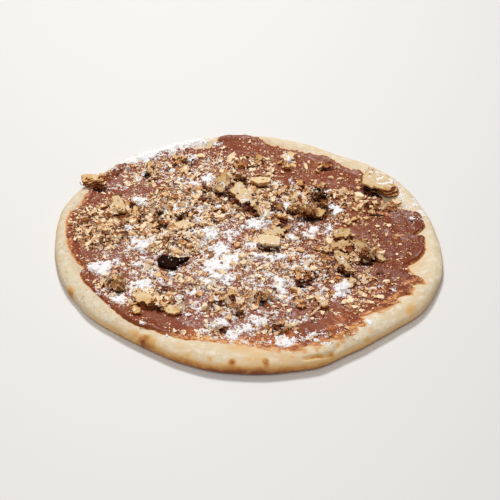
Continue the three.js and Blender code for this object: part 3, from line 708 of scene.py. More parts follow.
class Finish:
    """Adds nodes to one material, and keeps the colour mixed so far."""

    def __init__(self, name, colour, roughness):
        self.material = plain_material(name, colour, roughness)
        self.tree = self.material.node_tree
        self.shader = self.tree.nodes["Principled BSDF"]
        self.where = self.tree.nodes.new("ShaderNodeTexCoord").outputs["Object"]
        self.colour = None

    def link(self, output, node_input):
        """Joins two sockets."""
        self.tree.links.new(output, node_input)

    def noise(self, size_mm, detail=4, roughness=0.55, stretch=(1, 1, 1)):
        """Random variation with features about size_mm across."""
        mapping = self.tree.nodes.new("ShaderNodeMapping")
        mapping.inputs["Scale"].default_value = tuple(s * 1000 / size_mm for s in stretch)
        self.link(self.where, mapping.inputs["Vector"])
        texture = self.tree.nodes.new("ShaderNodeTexNoise")
        texture.inputs["Scale"].default_value = 1
        texture.inputs["Detail"].default_value = detail
        texture.inputs["Roughness"].default_value = roughness
        self.link(mapping.outputs["Vector"], texture.inputs["Vector"])
        return texture.outputs["Fac"]

    def mask(self, name):
        """The number that each vertex keeps under this name."""
        node = self.tree.nodes.new("ShaderNodeAttribute")
        node.attribute_name = name
        return node.outputs["Fac"]

    def limits(self, value, low, high, out_low=0.0, out_high=1.0):
        """Turns low to high softly into out_low to out_high, and holds what lies beyond."""
        node = self.tree.nodes.new("ShaderNodeMapRange")
        node.interpolation_type = "SMOOTHSTEP"
        for key, number in zip(("From Min", "From Max", "To Min", "To Max"), (low, high, out_low, out_high)):
            node.inputs[key].default_value = number
        self.link(value, node.inputs["Value"])
        return node.outputs["Result"]

    def combine(self, how, first, second):
        """Adds or multiplies two sockets, or a socket and a number."""
        node = self.tree.nodes.new("ShaderNodeMath")
        node.operation = how
        for value, node_input in zip((first, second), node.inputs):
            if isinstance(value, (int, float)):
                node_input.default_value = value
            else:
                self.link(value, node_input)
        return node.outputs["Value"]

    def broken_mask(self, name, noise, low, high, out_low=0.0, out_high=1.0):
        """A stored mask, broken up by noise so that its border isn't smooth."""
        return self.combine("MULTIPLY", self.mask(name), self.limits(noise, low, high, out_low, out_high))

    def over(self, colour, amount):
        """Lays a colour over what is mixed so far, where amount is near 1."""
        node = self.tree.nodes.new("ShaderNodeMix")
        node.data_type = "RGBA"
        if self.colour is None:
            node.inputs[MIX_UNDER].default_value = self.shader.inputs["Base Color"].default_value
        else:
            self.link(self.colour, node.inputs[MIX_UNDER])
        node.inputs[MIX_OVER].default_value = (*colour, 1)
        self.link(amount, node.inputs[0])
        self.colour = node.outputs[MIX_RESULT]
        self.link(self.colour, self.shader.inputs["Base Color"])

    def rough(self, value, low, high):
        """Lets the roughness vary with a noise between two values."""
        self.link(self.limits(value, 0.3, 0.7, low, high), self.shader.inputs["Roughness"])

    def bump(self, heights, depth_mm):
        """Shades a noise as fine relief, too fine to model."""
        node = self.tree.nodes.new("ShaderNodeBump")
        node.inputs["Strength"].default_value = 1.0
        node.inputs["Distance"].default_value = depth_mm * MM
        self.link(heights, node.inputs["Height"])
        self.link(node.outputs["Normal"], self.shader.inputs["Normal"])


def dress(thing, finish):
    """Gives a piece its finish, and fixes it to the one body of the pizza."""
    thing.data.materials.clear()
    thing.data.materials.append(finish.material)
    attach(thing, "root")


print("sugar white as a linear colour", [round(part, 2) for part in SUGAR_WHITE])

# %% [markdown]
# ## Dough finish
# Baked white dough is cream, darker towards its low edge, partly browned and partly painted shade,
# with soft tan to brown spots where it swelled against the heat, flour in the pores, and an oily
# orange stain beside the spread.

# %% Dough finish
dough = Finish("baked_dough", srgb(229, 209, 175), 0.75)
slow, fast, fine = dough.noise(24), dough.noise(5, 5, 0.62), dough.noise(1.5, 4, 0.65)
dough.over(srgb(222, 197, 158), dough.limits(slow, 0.42, 0.68, 0, 0.7))
dough.over(srgb(244, 235, 217), dough.limits(fast, 0.46, 0.66, 0, 0.75))
dough.over(srgb(206, 178, 138), dough.limits(fine, 0.55, 0.74, 0, 0.45))
specks = dough.broken_mask("specks", dough.noise(1.9, 3), 0.6, 0.68)
dough.over(srgb(206, 191, 164), dough.limits(dough.mask("specks"), 0, 1, 0, 0.3))
dough.over(srgb(132, 118, 98), dough.limits(specks, 0.1, 1.0, 0, 0.65))
# browning, with painted shade along the low edge and in the fold
browned_and_shaded = dough.broken_mask("browning_and_shade", fast, 0.25, 0.75, 0.75, 1.2)
dough.over(srgb(228, 182, 118), dough.limits(browned_and_shaded, 0.02, 0.34))
dough.over(srgb(202, 138, 70), dough.limits(browned_and_shaded, 0.28, 0.6))
dough.over(srgb(146, 80, 36), dough.limits(browned_and_shaded, 0.58, 0.95))
stained = dough.broken_mask("stain", dough.noise(2.2, 4, 0.6, (0.35, 1, 1)), 0.35, 0.6, 0.3, 1.4)
dough.over(srgb(222, 164, 104), dough.limits(stained, 0.1, 0.4, 0, 0.9))
dough.over(srgb(190, 112, 66), dough.limits(stained, 0.5, 0.9, 0, 0.9))
sugared = dough.broken_mask("sugar", dough.noise(0.9, 3), 0.3, 0.6, 0.4, 1.2)
dough.over(SUGAR_WHITE, dough.limits(sugared, 0.36, 0.56, 0, 0.95))
dough.rough(fast, 0.68, 0.88)
dough.bump(dough.combine("ADD", fast, dough.combine("MULTIPLY", fine, 0.4)), 0.7)
dress(crust, dough)
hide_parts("crust")
print("dough finish", len(dough.tree.nodes), "nodes")

# %% [markdown]
# ## Spread finish
# Chocolate hazelnut spread is a warm milk-chocolate brown with a soft sheen. It is orange where it
# was scraped to a smear, full of pale specks of wafer, and powdered with sugar. Where the shaded
# mask is high it is painted dark brown to near black as shade: in hollows, in front of tall pieces
# and under densely laid bits.

# %% Spread finish
cream = Finish("hazelnut_spread", srgb(136, 62, 30), 0.36)
cream.shader.inputs["Specular IOR Level"].default_value = 0.24
slow, fast = cream.noise(18), cream.noise(2.2, 5)
cream.over(srgb(118, 50, 24), cream.limits(slow, 0.4, 0.66, 0, 0.6))
cream.over(srgb(156, 78, 42), cream.limits(fast, 0.52, 0.76, 0, 0.45))
cream.over(srgb(112, 46, 21), cream.limits(cream.mask("thick"), 0, 1, 0, 0.6))
smear = cream.broken_mask("thin", fast, 0.36, 0.6, 0.35, 1.4)
cream.over(srgb(192, 111, 60), cream.limits(smear, 0.08, 0.36, 0, 0.85))
cream.over(srgb(230, 174, 108), cream.limits(smear, 0.4, 0.75, 0, 0.95))
cream.over(srgb(208, 146, 96), cream.limits(cream.noise(0.9, 2), 0.63, 0.68, 0, 0.8))
cream.over(srgb(238, 218, 204), cream.limits(cream.noise(0.7, 2, 0.5, (1, 1, 0.9)), 0.67, 0.71, 0, 0.8))
# painted shade: dark brown, then near black, where the shaded mask is high
cream.over(srgb(58, 26, 12), cream.limits(cream.mask("shaded"), 0.1, 0.7, 0, 0.9))
cream.over(srgb(30, 13, 6), cream.limits(cream.mask("shaded"), 0.6, 1.0))
veil = cream.broken_mask("sugar", cream.noise(0.9, 3), 0.34, 0.6, 0.3, 1.35)
cream.over(SUGAR_WHITE, cream.limits(veil, 0.42, 0.56, 0, 0.97))
cream.rough(fast, 0.3, 0.5)
cream.bump(fast, 0.2)
dress(spread, cream)
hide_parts("spread")
print("spread finish", len(cream.tree.nodes), "nodes")

# %% [markdown]
# ## Broken wafer
# Wafer breaks into slabs, plates, bars and flakes, which lie at all angles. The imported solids
# already have their places, and the same angles stand here, because each new piece is built flat
# and then laid. A table of stacks says which sheets a sort of piece has, from the lowest up.

# %% Wafer measures
WAFERS = {
    # node: turn, pitch and roll in degrees, toasting from 0 to 1, and how it was made
    "wafer_slab": (-38, -2, -5, 0.14, "slab"), "rim_chunk": (20, 3, -6, 0.32, "loose"),
    "long_flake": (-70, 9, 0, 0.12, "plate"), "leaning_plate": (66, 32, 14, 0.34, "flake"),
    "brown_pile": (60, 0, 0, 0.75, "chunk"), "square_wafer": (2, 3, -6, 0.12, "plate"),
    "broken_wafer": (-28, -8, 22, 0.2, "block"), "tan_plate": (85, 48, 0, 0.66, "flake"),
    "thin_bar": (-32, 8, 0, 0.3, "flake"), "wafer_block": (2, 0, 3, 0.08, "brick"),
    "upper_sheet": (6, 4, 26, 0.14, "flake"), "dark_chunk": (66, 0, 0, 0.85, "chunk"),
    "cluster_left": (25, 0, 0, 0.26, "chunk"), "cluster_middle": (-20, 12, -14, 0.34, "chunk"),
    "cluster_right": (50, 26, 0, 0.36, "flake"), "pile_top": (24, 6, 10, 0.34, "block"),
    "pile_curl": (-36, -8, 24, 0.36, "flake"), "pile_bar": (-44, 4, 8, 0.25, "plate"),
    "layered_bar": (-52, -5, 18, 0.4, "block"), "coated_chunk": (-30, 0, 0, 0.6, "chunk"),
    "pile_flake": (-34, -8, 0, 0.15, "flake"), "pile_end": (27, 3, 12, 0.32, "flake"),
    "front_chunk": (-32, 2, 12, 0.26, "loose"), "left_cluster": (-50, 0, 0, 0.36, "chunk"),
    "right_chunk": (24, 0, 12, 0.5, "block"), "sugared_flake": (62, 8, 8, 0.2, "flake"),
    "flake_far_1": (-30, 12, 16, 0.35, "flake"), "flake_far_2": (40, 6, 0, 0.35, "flake"),
    "flake_far_3": (78, 6, 0, 0.3, "flake"), "flake_far_4": (80, 14, 20, 0.4, "flake"),
    "flake_far_5": (6, 0, 30, 0.6, "flake"), "flake_far_6": (62, 14, 20, 0.45, "flake"),
    "flake_far_7": (-36, 8, 0, 0.4, "flake"), "flake_far_8": (66, 5, 4, 0.1, "flake"),
    "flake_far_9": (20, 12, 24, 0.6, "flake"), "flake_mid_1": (12, 4, 4, 0.15, "flake"),
    "flake_mid_2": (-75, 4, 24, 0.35, "flake"), "flake_mid_3": (70, 16, 0, 0.45, "flake"),
    "flake_mid_4": (74, 12, 10, 0.35, "flake"), "flake_mid_5": (-50, 14, 0, 0.55, "flake"),
    "flake_mid_6": (48, 6, 0, 0.35, "flake"), "flake_mid_7": (70, 24, 20, 0.4, "flake"),
    "flake_near_1": (8, 4, 6, 0.3, "flake"), "flake_near_2": (-66, 4, 0, 0.35, "flake"),
    "flake_near_3": (-60, 4, 6, 0.45, "flake"), "flake_near_4": (-56, 4, 8, 0.35, "flake"),
    "pile_near_1": (30, 8, 16, 0.4, "block"), "pile_near_2": (70, 0, 0, 0.5, "chunk"),
    "brown_lump_1": (-28, 0, 0, 0.6, "chunk"), "brown_lump_2": (10, 0, 0, 0.8, "chunk"),
}
SHEET_CELL = 0.5
STACKS = {
    # level of a sheet's underside and its thickness as parts of the stack, how far it is set back
    # in mm, and whether it is cream
    "flake": [(0.0, 0.36, 0.8, False), (0.5, 0.5, 0.0, False)],
    "plate": [(0.0, 0.4, 0.2, False), (0.44, 0.56, 0.0, False)],
    "brick": [(0.0, 0.16, 0.3, False), (0.2, 0.17, 0.1, False), (0.41, 0.16, 0.3, False),
              (0.6, 0.16, 0.0, False), (0.79, 0.21, 0.2, False)],
    "loose": [(0.0, 0.22, 0.4, False), (0.36, 0.2, 1.6, False), (0.72, 0.28, 0.0, False)],
    "slab": [(0.0, 0.16, 0.6, False), (0.17, 0.16, 1.3, True), (0.36, 0.14, 0.3, False),
             (0.52, 0.14, 1.2, True), (0.7, 0.3, 0.0, False)],
    "block": [(0.0, 0.2, 0.9, False), (0.17, 0.22, 1.8, True), (0.38, 0.2, 0.5, False),
              (0.55, 0.24, 1.7, True), (0.78, 0.22, 0.0, False)],
}
RAGGED = {"flake": 1.3, "plate": 0.12, "slab": 0.6, "block": 1.0, "brick": 0.6, "loose": 1.5}
EDGE_TOAST = {"flake": 0.26, "plate": 0.2, "slab": 0.26, "block": 0.26, "brick": 0.03, "loose": 0.26}
UNDERCUT = {"front_chunk": (250, 3), "broken_wafer": (270, 3)}
# toasting of the slab's lower near sheets, nearly black: painted shade of the slit under its raised edge
SLAB_SLIT_PAINTED_SHADE = 1.06
SLAB_TERRACES = 12
SLAB_NEAR_SLIT = 3.2
BRICK_TERRACES = 6
PORE_LEVEL = -0.988
GOLDEN = ("wafer_slab", "pile_top", "pile_curl", "pile_bar", "pile_flake", "pile_end", "layered_bar",
          "long_flake")


def lying(turn, pitch, roll):
    """The turn from a piece's own directions to the table's, as a numpy matrix."""
    angles = (math.radians(degrees) for degrees in (turn, -pitch, roll))
    about_z, about_y, about_x = (Matrix.Rotation(angle, 3, axis) for angle, axis in zip(angles, "ZYX"))
    return np.array(about_z @ about_y @ about_x)


def own_outline(node, axes):
    """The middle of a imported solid, its reach in steps round its own plane, and its thickness."""
    points = numbers(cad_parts[node].data.vertices, "co", 3) / MM
    own = points @ axes
    middle = (own.min(0) + own.max(0)) / 2
    own = own - middle
    around = np.linspace(-np.pi, np.pi, 181)
    support = (own[:, :2] @ np.stack([np.cos(around), np.sin(around)])).max(0)
    aligned = np.cos(around[:, None] - around[None])
    reach_of = np.where(aligned > 0.05, support[None] / np.maximum(aligned, 0.05), np.inf).min(1)
    return middle, around, reach_of, 2 * own[:, 2].max()


print("wafer pieces to make", len(WAFERS), "sorts of stack", list(STACKS))

# %% [markdown]
# ## Torn sheets
# A wafer is a stack of thin baked sheets with cream between them, and it snaps with a splintered
# edge. Each large piece is built so again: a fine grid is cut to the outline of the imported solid,
# with torn edges and bites, and made solid, once for every sheet. The sheets are thinner than
# the stack, so dark gaps show between them.

# %% Torn sheets
BITE_LEVEL = -0.7
BITE_DEPTH = 3.2
SIDEWAYS_JITTER = 0.14
SHARP_FROM = math.radians(40)


def new_piece(name, points, faces):
    """An object in the scene made from points in millimetres and faces."""
    mesh = bpy.data.meshes.new(name)
    mesh.from_pydata((points * MM).tolist(), [], faces)
    thing = bpy.data.objects.new(name, mesh)
    bpy.context.scene.collection.objects.link(thing)
    return thing


def is_wall(edge, thickness):
    """Whether an edge crosses the sheet from its upper to its lower side, which only walls do."""
    rise = abs(edge.verts[0].co.z - edge.verts[1].co.z)
    return edge.calc_length() > 0.75 * thickness and rise > 0.5 * thickness


def torn_sheet(around, reach_of, thickness, set_back, undercuts, seed, ragged=1.0):
    """One sheet with a torn outline: its points and faces, and which points are on top and on a wall."""
    half = float(reach_of.max()) + SHEET_CELL
    steps = int(2 * half / SHEET_CELL)
    bm = bmesh.new()
    bmesh.ops.create_grid(bm, x_segments=steps, y_segments=steps, size=half)
    x, y = np.array([vertex.co[:2] for vertex in bm.verts]).T
    angle, away = np.arctan2(y, x), np.hypot(x, y)
    small = ragged * np.clip(reach_of.min() / 4.5, 0.4, 1)
    torn = small * (0.9 * chips(x, y, 3.4, seed) + 0.5 * chips(x, y, 1.4, seed + 1))
    edge = np.interp(angle, around, reach_of) - set_back * (1 + ripple(x, y, 3, seed + 2)) - torn
    inside = edge - away
    for way, depth in undercuts:
        facing_so = np.clip(np.cos(angle - way) * away / np.interp(way, around, reach_of), 0, 1)
        inside = np.minimum(inside, edge - away - depth * facing_so)
    bite = (chips(x, y, 4.2, seed + 3) < BITE_LEVEL) & (inside < BITE_DEPTH * small) & (ragged > 0.5)
    pore = chips(x, y, 1.0, seed + 8) < PORE_LEVEL
    gone = (inside < 0) | bite | (pore & (inside > 1) & (ragged > 0.5))
    random = np.random.default_rng(seed)
    warp = small * (0.4 * ripple(x, y, 6, seed + 4) + 0.16 * chips(x, y, 3, seed + 6))
    warp = warp + 0.1 * ripple(x, y, 1.2, seed + 5)
    shift = np.stack([*random.uniform(-SIDEWAYS_JITTER, SIDEWAYS_JITTER, (2, len(x))), warp], 1)
    for vertex, move in zip(bm.verts, shift):
        vertex.co += Vector(move)
    beyond = [vertex for vertex, is_gone in zip(bm.verts, gone) if is_gone]
    bmesh.ops.delete(bm, geom=beyond, context="VERTS")
    loose = [vertex for vertex in bm.verts if not vertex.link_faces]
    bmesh.ops.delete(bm, geom=loose, context="VERTS")
    bmesh.ops.solidify(bm, geom=bm.faces[:], thickness=thickness)
    bmesh.ops.recalc_face_normals(bm, faces=bm.faces[:])
    bm.verts.index_update()
    points = np.array([vertex.co for vertex in bm.verts])
    faces = [[vertex.index for vertex in face.verts] for face in bm.faces]
    upper = np.array([vertex.normal.z > 0 for vertex in bm.verts])
    near_edge = np.array([any(is_wall(edge, thickness) for edge in vertex.link_edges) for vertex in bm.verts])
    bm.free()
    points[:, 2] -= points[:, 2].mean()
    return points, faces, upper, near_edge


def stacked_piece(node, name, axes, kind, tone, seed):
    """All sheets of one piece as one mesh, with masks of toasting with painted shade, and of cream."""
    middle, around, reach_of, thickness = own_outline(node, axes)
    way, depth = UNDERCUT.get(node, (0, 0))
    towards = np.array([math.cos(math.radians(way)), math.sin(math.radians(way)), 0]) @ axes
    own_way = math.atan2(towards[1], towards[0])
    all_points, all_faces, toast_and_shade, cream_mask, first = [], [], [], [], 0
    for level, part, set_back, is_cream in STACKS[kind]:
        undercuts = [(own_way, 0 if level > 0.7 or kind == "flake" else depth)]
        if kind == "slab":
            undercuts = [(0, SLAB_TERRACES * level), (-np.pi / 2, SLAB_NEAR_SLIT * (level < 0.6))]
        if kind == "brick":
            undercuts = [(-np.pi / 2, BRICK_TERRACES * (1 - level) * (level < 0.6))]
        seed += 11
        points, faces, upper, near_edge = torn_sheet(
            around, reach_of, part * thickness, set_back, undercuts, seed, RAGGED[kind])
        points[:, 2] += (level + part / 2 - 0.5) * thickness
        all_points.append((points + middle) @ axes.T)
        all_faces += [[first + corner for corner in face] for face in faces]
        mottled = 0.1 * ripple(points[:, 0], points[:, 1], 3, seed + 7)
        shade = tone - 0.08 + mottled + EDGE_TOAST[kind] * near_edge
        if kind != "brick":
            # undersides and the lower sheets are darker: partly cream and spread, partly painted shade
            shade = shade + np.where(upper, 0, 0.25) + 0.15 * (level < 0.4)
        if kind == "slab":
            layered_end = points[:, 0] > 5 + 2 * ripple(points[:, 0], points[:, 1], 3, 60)
            # painted shade: the lower sheets along the slab's near side, under its raised edge, are coloured
            # nearly black
            in_slit = ~layered_end & (points[:, 1] < -3) & (level < 0.6)
            core_shade = tone - 0.06 + mottled + 0.3 * near_edge
            shade = np.where(layered_end, shade + (0.6 if is_cream else 0.2), core_shade)
            shade = np.where(in_slit, SLAB_SLIT_PAINTED_SHADE, shade)
            is_cream = ~in_slit & is_cream
        toast_and_shade.append(shade)
        cream_mask.append(np.full(len(points), is_cream, float))
        first += len(points)
    thing = new_piece(name, np.concatenate(all_points), all_faces)
    thing.data.set_sharp_from_angle(angle=SHARP_FROM)
    return thing, np.concatenate(toast_and_shade), np.concatenate(cream_mask)


print("a grid for torn sheets has cells of", SHEET_CELL, "mm")

# %% [markdown]
# ## Rough chunks
# Some pieces are no clean stack but a lump of pressed crumbs. Such a lump starts from a copy of
# its solid, remeshed so that its faces are small and even, and its skin is pushed in and out. It
# stays a little smaller than the solid, which leaves room for the splinters that stand on it.

# %% Rough chunks
VOXEL = 0.5 * MM
CHUNK_SHARP_FROM = math.radians(38)


def fine_copy(node, name):
    """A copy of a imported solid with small, even faces."""
    bm = bmesh.new()
    bm.from_mesh(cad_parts[node].data)
    bmesh.ops.remove_doubles(bm, verts=bm.verts, dist=1e-6)
    thing = new_object(name, bm)
    remesh = thing.modifiers.new("even faces", "REMESH")
    remesh.mode = "VOXEL"
    remesh.voxel_size = VOXEL
    view_layer = bpy.context.evaluated_depsgraph_get()
    fine = bpy.data.meshes.new_from_object(thing.evaluated_get(view_layer))
    coarse = thing.data
    thing.modifiers.clear()
    thing.data = fine
    bpy.data.meshes.remove(coarse)
    return thing


def rough_chunk(node, name, axes, tone, seed):
    """A heap of pressed crumbs, a little smaller than the solid, for splinters to stand on. It is painted
    darker as shade, most of all in its pushed-in hollows.
    """
    thing = fine_copy(node, name)
    mesh = thing.data
    points, normals = numbers(mesh.vertices, "co", 3) / MM, numbers(mesh.vertices, "normal", 3)
    x, y, z = ((points - points.mean(0)) @ axes).T
    push = (0.8 * chips(x + 0.6 * z, y - 0.7 * z, 2.6, seed) + 0.5 * chips(x - z, y + 0.5 * z, 1.3, seed + 1)
            + 0.25 * ripple(x + z, y + z, 0.9, seed + 2) - 1.0)
    mesh.vertices.foreach_set("co", ((points + normals * push[:, None]) * MM).ravel())
    mesh.update()
    mesh.set_sharp_from_angle(angle=CHUNK_SHARP_FROM)
    # painted shade: the lump is 0.2 darker than its tone, and its pushed-in hollows darker still
    recess_shade = np.clip(-push - 0.6, 0, 1) * 0.25
    return thing, tone + 0.2 + recess_shade, np.clip(chips(x, y + z, 3, seed + 3) - 0.3, 0, 1)


print("chunks are remeshed at", round(VOXEL / MM, 1), "mm")

# %% [markdown]
# ## Wafer finish
# Plain wafer is light tan and dry. Its toasting differs from piece to piece: thin edges are
# orange-brown, and crumbs that took up cream are nearly chocolate brown. Ever darker colours are
# laid over each other as the stored toasting rises. That stored number also carries painted shade:
# undersides, the recesses of chunks, the slab's slit and crumbs in hollows are made darker, up to
# near black. The slab, the pile on the right and the long flake are more golden than the other
# wafers, and crumbs are paler, so there are three versions.

# %% Wafer finish
def wafer_finish(name, light, tan):
    """The finish of wafer with its own untoasted and lightly toasted colours."""
    finish = Finish(name, srgb(*light), 0.8)
    finish.shader.inputs["Specular IOR Level"].default_value = 0.15
    slow, fast = finish.noise(5.5), finish.noise(1.1, 5)
    uneven, grainy = finish.limits(slow, 0.3, 0.7, -0.1, 0.1), finish.limits(fast, 0.3, 0.7, -0.1, 0.1)
    toast_and_shade = finish.combine("ADD", finish.combine("ADD", finish.mask("toast_and_shade"), uneven), grainy)
    finish.over(srgb(*tan), finish.limits(toast_and_shade, 0.08, 0.34))
    finish.over(srgb(198, 132, 74), finish.limits(toast_and_shade, 0.34, 0.56))
    finish.over(srgb(138, 72, 36), finish.limits(toast_and_shade, 0.56, 0.8))
    # the near-black step is reached mostly by painted shade: the slab's slit, chunk recesses and crumbs in
    # hollows
    finish.over(srgb(64, 29, 13), finish.limits(toast_and_shade, 0.8, 1.04))
    finish.over(srgb(22, 10, 5), finish.limits(toast_and_shade, 1.05, 1.2))
    finish.over(srgb(118, 60, 34), finish.limits(finish.mask("cream"), 0.3, 0.8, 0, 0.92))
    powder = finish.broken_mask("sugar", finish.noise(0.9, 3), 0.3, 0.62, 0.4, 1.3)
    finish.over(SUGAR_WHITE, finish.limits(powder, 0.42, 0.56, 0, 0.97))
    finish.rough(fast, 0.68, 0.88)
    finish.bump(fast, 0.2)
    return finish


wafer = wafer_finish("broken_wafer", (234, 206, 160), (218, 177, 119))
golden_wafer = wafer_finish("golden_wafer", (220, 191, 146), (200, 160, 106))
crumb_wafer = wafer_finish("wafer_crumbs", (255, 231, 195), (241, 199, 147))
print("wafer finishes", wafer.material.name, golden_wafer.material.name, crumb_wafer.material.name)

# %% [markdown]
# ## Laying the wafer pieces
# A map of heights, half a millimetre fine, remembers how high the topping is everywhere. It
# starts as the top of the spread, and each piece that is laid raises it.

# %% Wafer pieces
CELL = 0.5
REACH = 150.0
cell_middles = np.arange(-REACH, REACH, CELL) + CELL / 2
grid_x, grid_y = np.meshgrid(cell_middles, cell_middles, indexing="ij")
piled = surface_height(grid_x, grid_y)
bare = piled.copy()


def cell_of(*place):
    """The cell of the height map in which x and y lie, as its two indices."""
    last = len(cell_middles) - 1
    return tuple(np.clip(((np.asarray(value) + REACH) / CELL).astype(int), 0, last) for value in place)


def raise_pile(x, y, heights):
    """Lifts the pile to these heights where it is lower."""
    np.maximum.at(piled, cell_of(x, y), heights)


STEEP_PITCH, STEEP_ROLL = 20, 24
SUGAR_KEPT, SUGAR_KEPT_WHEN_STEEP = 0.9, 0.35
CHUNK_SPLINTERS = 44 / 200
STACK_SPLINTERS = 4
wafer_ground, smooth_ground = np.zeros_like(piled, bool), np.zeros_like(piled, bool)
splinter_starts = []
for number, (node, (turn, pitch, roll, tone, kind)) in enumerate(WAFERS.items()):
    axes = lying(turn, pitch, roll)
    name = node + "_broken"
    if kind == "chunk":
        made = rough_chunk(node, name, axes, tone, 100 + 7 * number)
    else:
        made = stacked_piece(node, name, axes, kind, tone, 1000 + 70 * number)
    piece, toast_and_shade_mask, cream_mask = made
    points, normals = numbers(piece.data.vertices, "co", 3) / MM, numbers(piece.data.vertices, "normal", 3)
    keep(piece.data, "toast_and_shade", toast_and_shade_mask)
    keep(piece.data, "cream", cream_mask)
    steep = abs(pitch) > STEEP_PITCH or abs(roll) > STEEP_ROLL or node.startswith("pile")
    upwards = np.clip(normals[:, 2] * 2, 0, 1)
    share_kept = SUGAR_KEPT_WHEN_STEEP if steep else SUGAR_KEPT
    keep(piece.data, "sugar", sugar_cover(points[:, 0], points[:, 1]) * upwards * share_kept)
    dress(piece, golden_wafer if node.startswith(GOLDEN) else wafer)
    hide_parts(node)
    cells = cell_of(points[:, 0], points[:, 1])
    raise_pile(*points.T)
    wafer_ground[cells] = True
    smooth_ground[cells] |= kind in ("slab", "plate")
    random = np.random.default_rng(300 + number)
    open_to_air = np.flatnonzero((normals[:, 2] > -0.1) & (points[:, 2] > bare[cells] + 1.2))
    area = np.ptp(points[:, 0]) * np.ptp(points[:, 1])
    wanted = CHUNK_SPLINTERS * area if kind == "chunk" else STACK_SPLINTERS
    chosen = random.choice(open_to_air, int(min(wanted, len(open_to_air))), replace=False)
    scale = 1.0 if kind == "chunk" else 0.5
    same = np.ones(len(chosen))
    splinter_starts.append((points[chosen], normals[chosen], tone * same, scale * same))
print("wafer pieces", len(WAFERS), "highest", round(float(piled.max()), 1), "mm")

# %% [markdown]
# ## Sheltered ground
# Light and sugar come from behind, so the ground just in front of a tall piece lies in shade and
# stays bare. That shade is painted: the spread and the crumbs there are coloured dark. The map of
# heights tells where that is: a higher piece stands within a few millimetres.

# %% Sheltered ground
SHELTER_CELLS = 10
SHELTER_SLOPE = 0.9
SHELTER_FROM = 1.4
SHELTER_FULL_AFTER = 1.2
shelter = np.zeros_like(piled)
for cells in range(1, SHELTER_CELLS + 1):
    behind = np.roll(piled, -cells, 1) - bare
    deep = (behind - SHELTER_FROM - SHELTER_SLOPE * cells * CELL) / SHELTER_FULL_AFTER
    shelter = np.maximum(shelter, np.clip(deep, 0, 1))
shelter[wafer_ground] = 0


def painted_shade(x, y):
    """How much shade is painted: 1 in a hollow or just in front of a tall piece."""
    uneven = np.clip(0.8 + 0.6 * ripple(x, y, 2.4, 53), 0, 1)
    return np.maximum(painted_hollow_shade(x, y), shelter[cell_of(x, y)] * uneven)


# painted shade on the spread: in hollows, in front of tall pieces, and under densely laid bits
laden = np.clip(1.5 * (bit_share(spread_x, spread_y) + 0.2 * ripple(spread_x, spread_y, 5, 52) - 0.5), 0, 1)
keep(spread.data, "shaded", np.maximum(painted_shade(spread_x, spread_y), 0.55 * laden))
print("sheltered share", round(float((shelter > 0.5).mean()), 4))

# %% [markdown]
# ## The chocolate shard
# One flat splinter of dark chocolate lies in the spread. It breaks cleanly, so it is only chipped
# a little, and it is smoother and darker than everything else.

# %% Chocolate shard
chocolate = Finish("dark_chocolate", srgb(40, 17, 7), 0.55)
chocolate.shader.inputs["Specular IOR Level"].default_value = 0.02
fast = chocolate.noise(2.4, 4)
chocolate.over(srgb(22, 9, 4), chocolate.limits(chocolate.noise(6), 0.4, 0.65))
chocolate.over(srgb(52, 24, 12), chocolate.limits(fast, 0.6, 0.78, 0, 0.5))
chocolate.rough(fast, 0.5, 0.68)
chocolate.bump(fast, 0.15)
SHARD_CORNERS = np.array([
    (-10.5, 0.5), (-8, -4.5), (-1.5, -7), (4.5, -6), (5.5, -1), (10.5, 2.2), (12.5, 6), (5, 3.6),
    (-2, 4.4), (-8, 6),
])
POINTS_PER_SIDE = 30
axes = lying(-10, 5, 4)
middle, around, _, thickness = own_outline("chocolate_shard", axes)
ends = zip(SHARD_CORNERS, np.roll(SHARD_CORNERS, -1, 0))
sides = np.concatenate([np.linspace(start, end, POINTS_PER_SIDE) for start, end in ends])
sides = sides - (SHARD_CORNERS.min(0) + SHARD_CORNERS.max(0)) / 2
side_angles, order = np.unique(np.arctan2(sides[:, 1], sides[:, 0]), return_index=True)
reach_of = np.interp(around, side_angles, np.hypot(*sides[order].T), period=2 * np.pi)
points, faces, upper, near_edge = torn_sheet(around, reach_of + 0.5, thickness, 0, (), 90, 0.2)
points = (points + middle) @ axes.T
shard = new_piece("chocolate_shard_broken", points, faces)
shard.data.set_sharp_from_angle(angle=SHARP_FROM)
dress(shard, chocolate)
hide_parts("chocolate_shard")
raise_pile(*points.T)
cells = cell_of(points[:, 0], points[:, 1])
wafer_ground[cells] = True
shard_ground = np.zeros_like(piled, bool)
shard_ground[cells] = True
steps = range(-3, 4)
shard_ground = np.any([np.roll(shard_ground, (di, dj), (0, 1)) for di in steps for dj in steps], 0)
smooth_ground |= shard_ground
print("chocolate shard", len(shard.data.polygons), "faces")

# %% [markdown]
# ## Crumb shapes
# Crushed wafer breaks into thin plates with broken outlines, a few flat-sided lumps, and grit. A
# few small shapes of each sort are modelled, and each is used many times at other sizes and
# turns, joined in one mesh for each kind of crumb. A shape keeps a shade for each vertex, because
# a plate is darker on its lower half: partly the cream it took up, partly painted shade.

# %% Crumb shapes
def as_shape(bm, shade):
    """The vertices, triangles and shades of a small closed mesh, which is then freed. The shade darkens the
    lower half, partly as cream and partly as painted shade.
    """
    bmesh.ops.triangulate(bm, faces=bm.faces)
    bmesh.ops.recalc_face_normals(bm, faces=bm.faces)
    bm.verts.ensure_lookup_table()
    points = np.array([vertex.co for vertex in bm.verts])
    triangles = np.array([[vertex.index for vertex in face.verts] for face in bm.faces])
    bm.free()
    return points, triangles, np.where(points[:, 2] < 0, shade, 0.0)


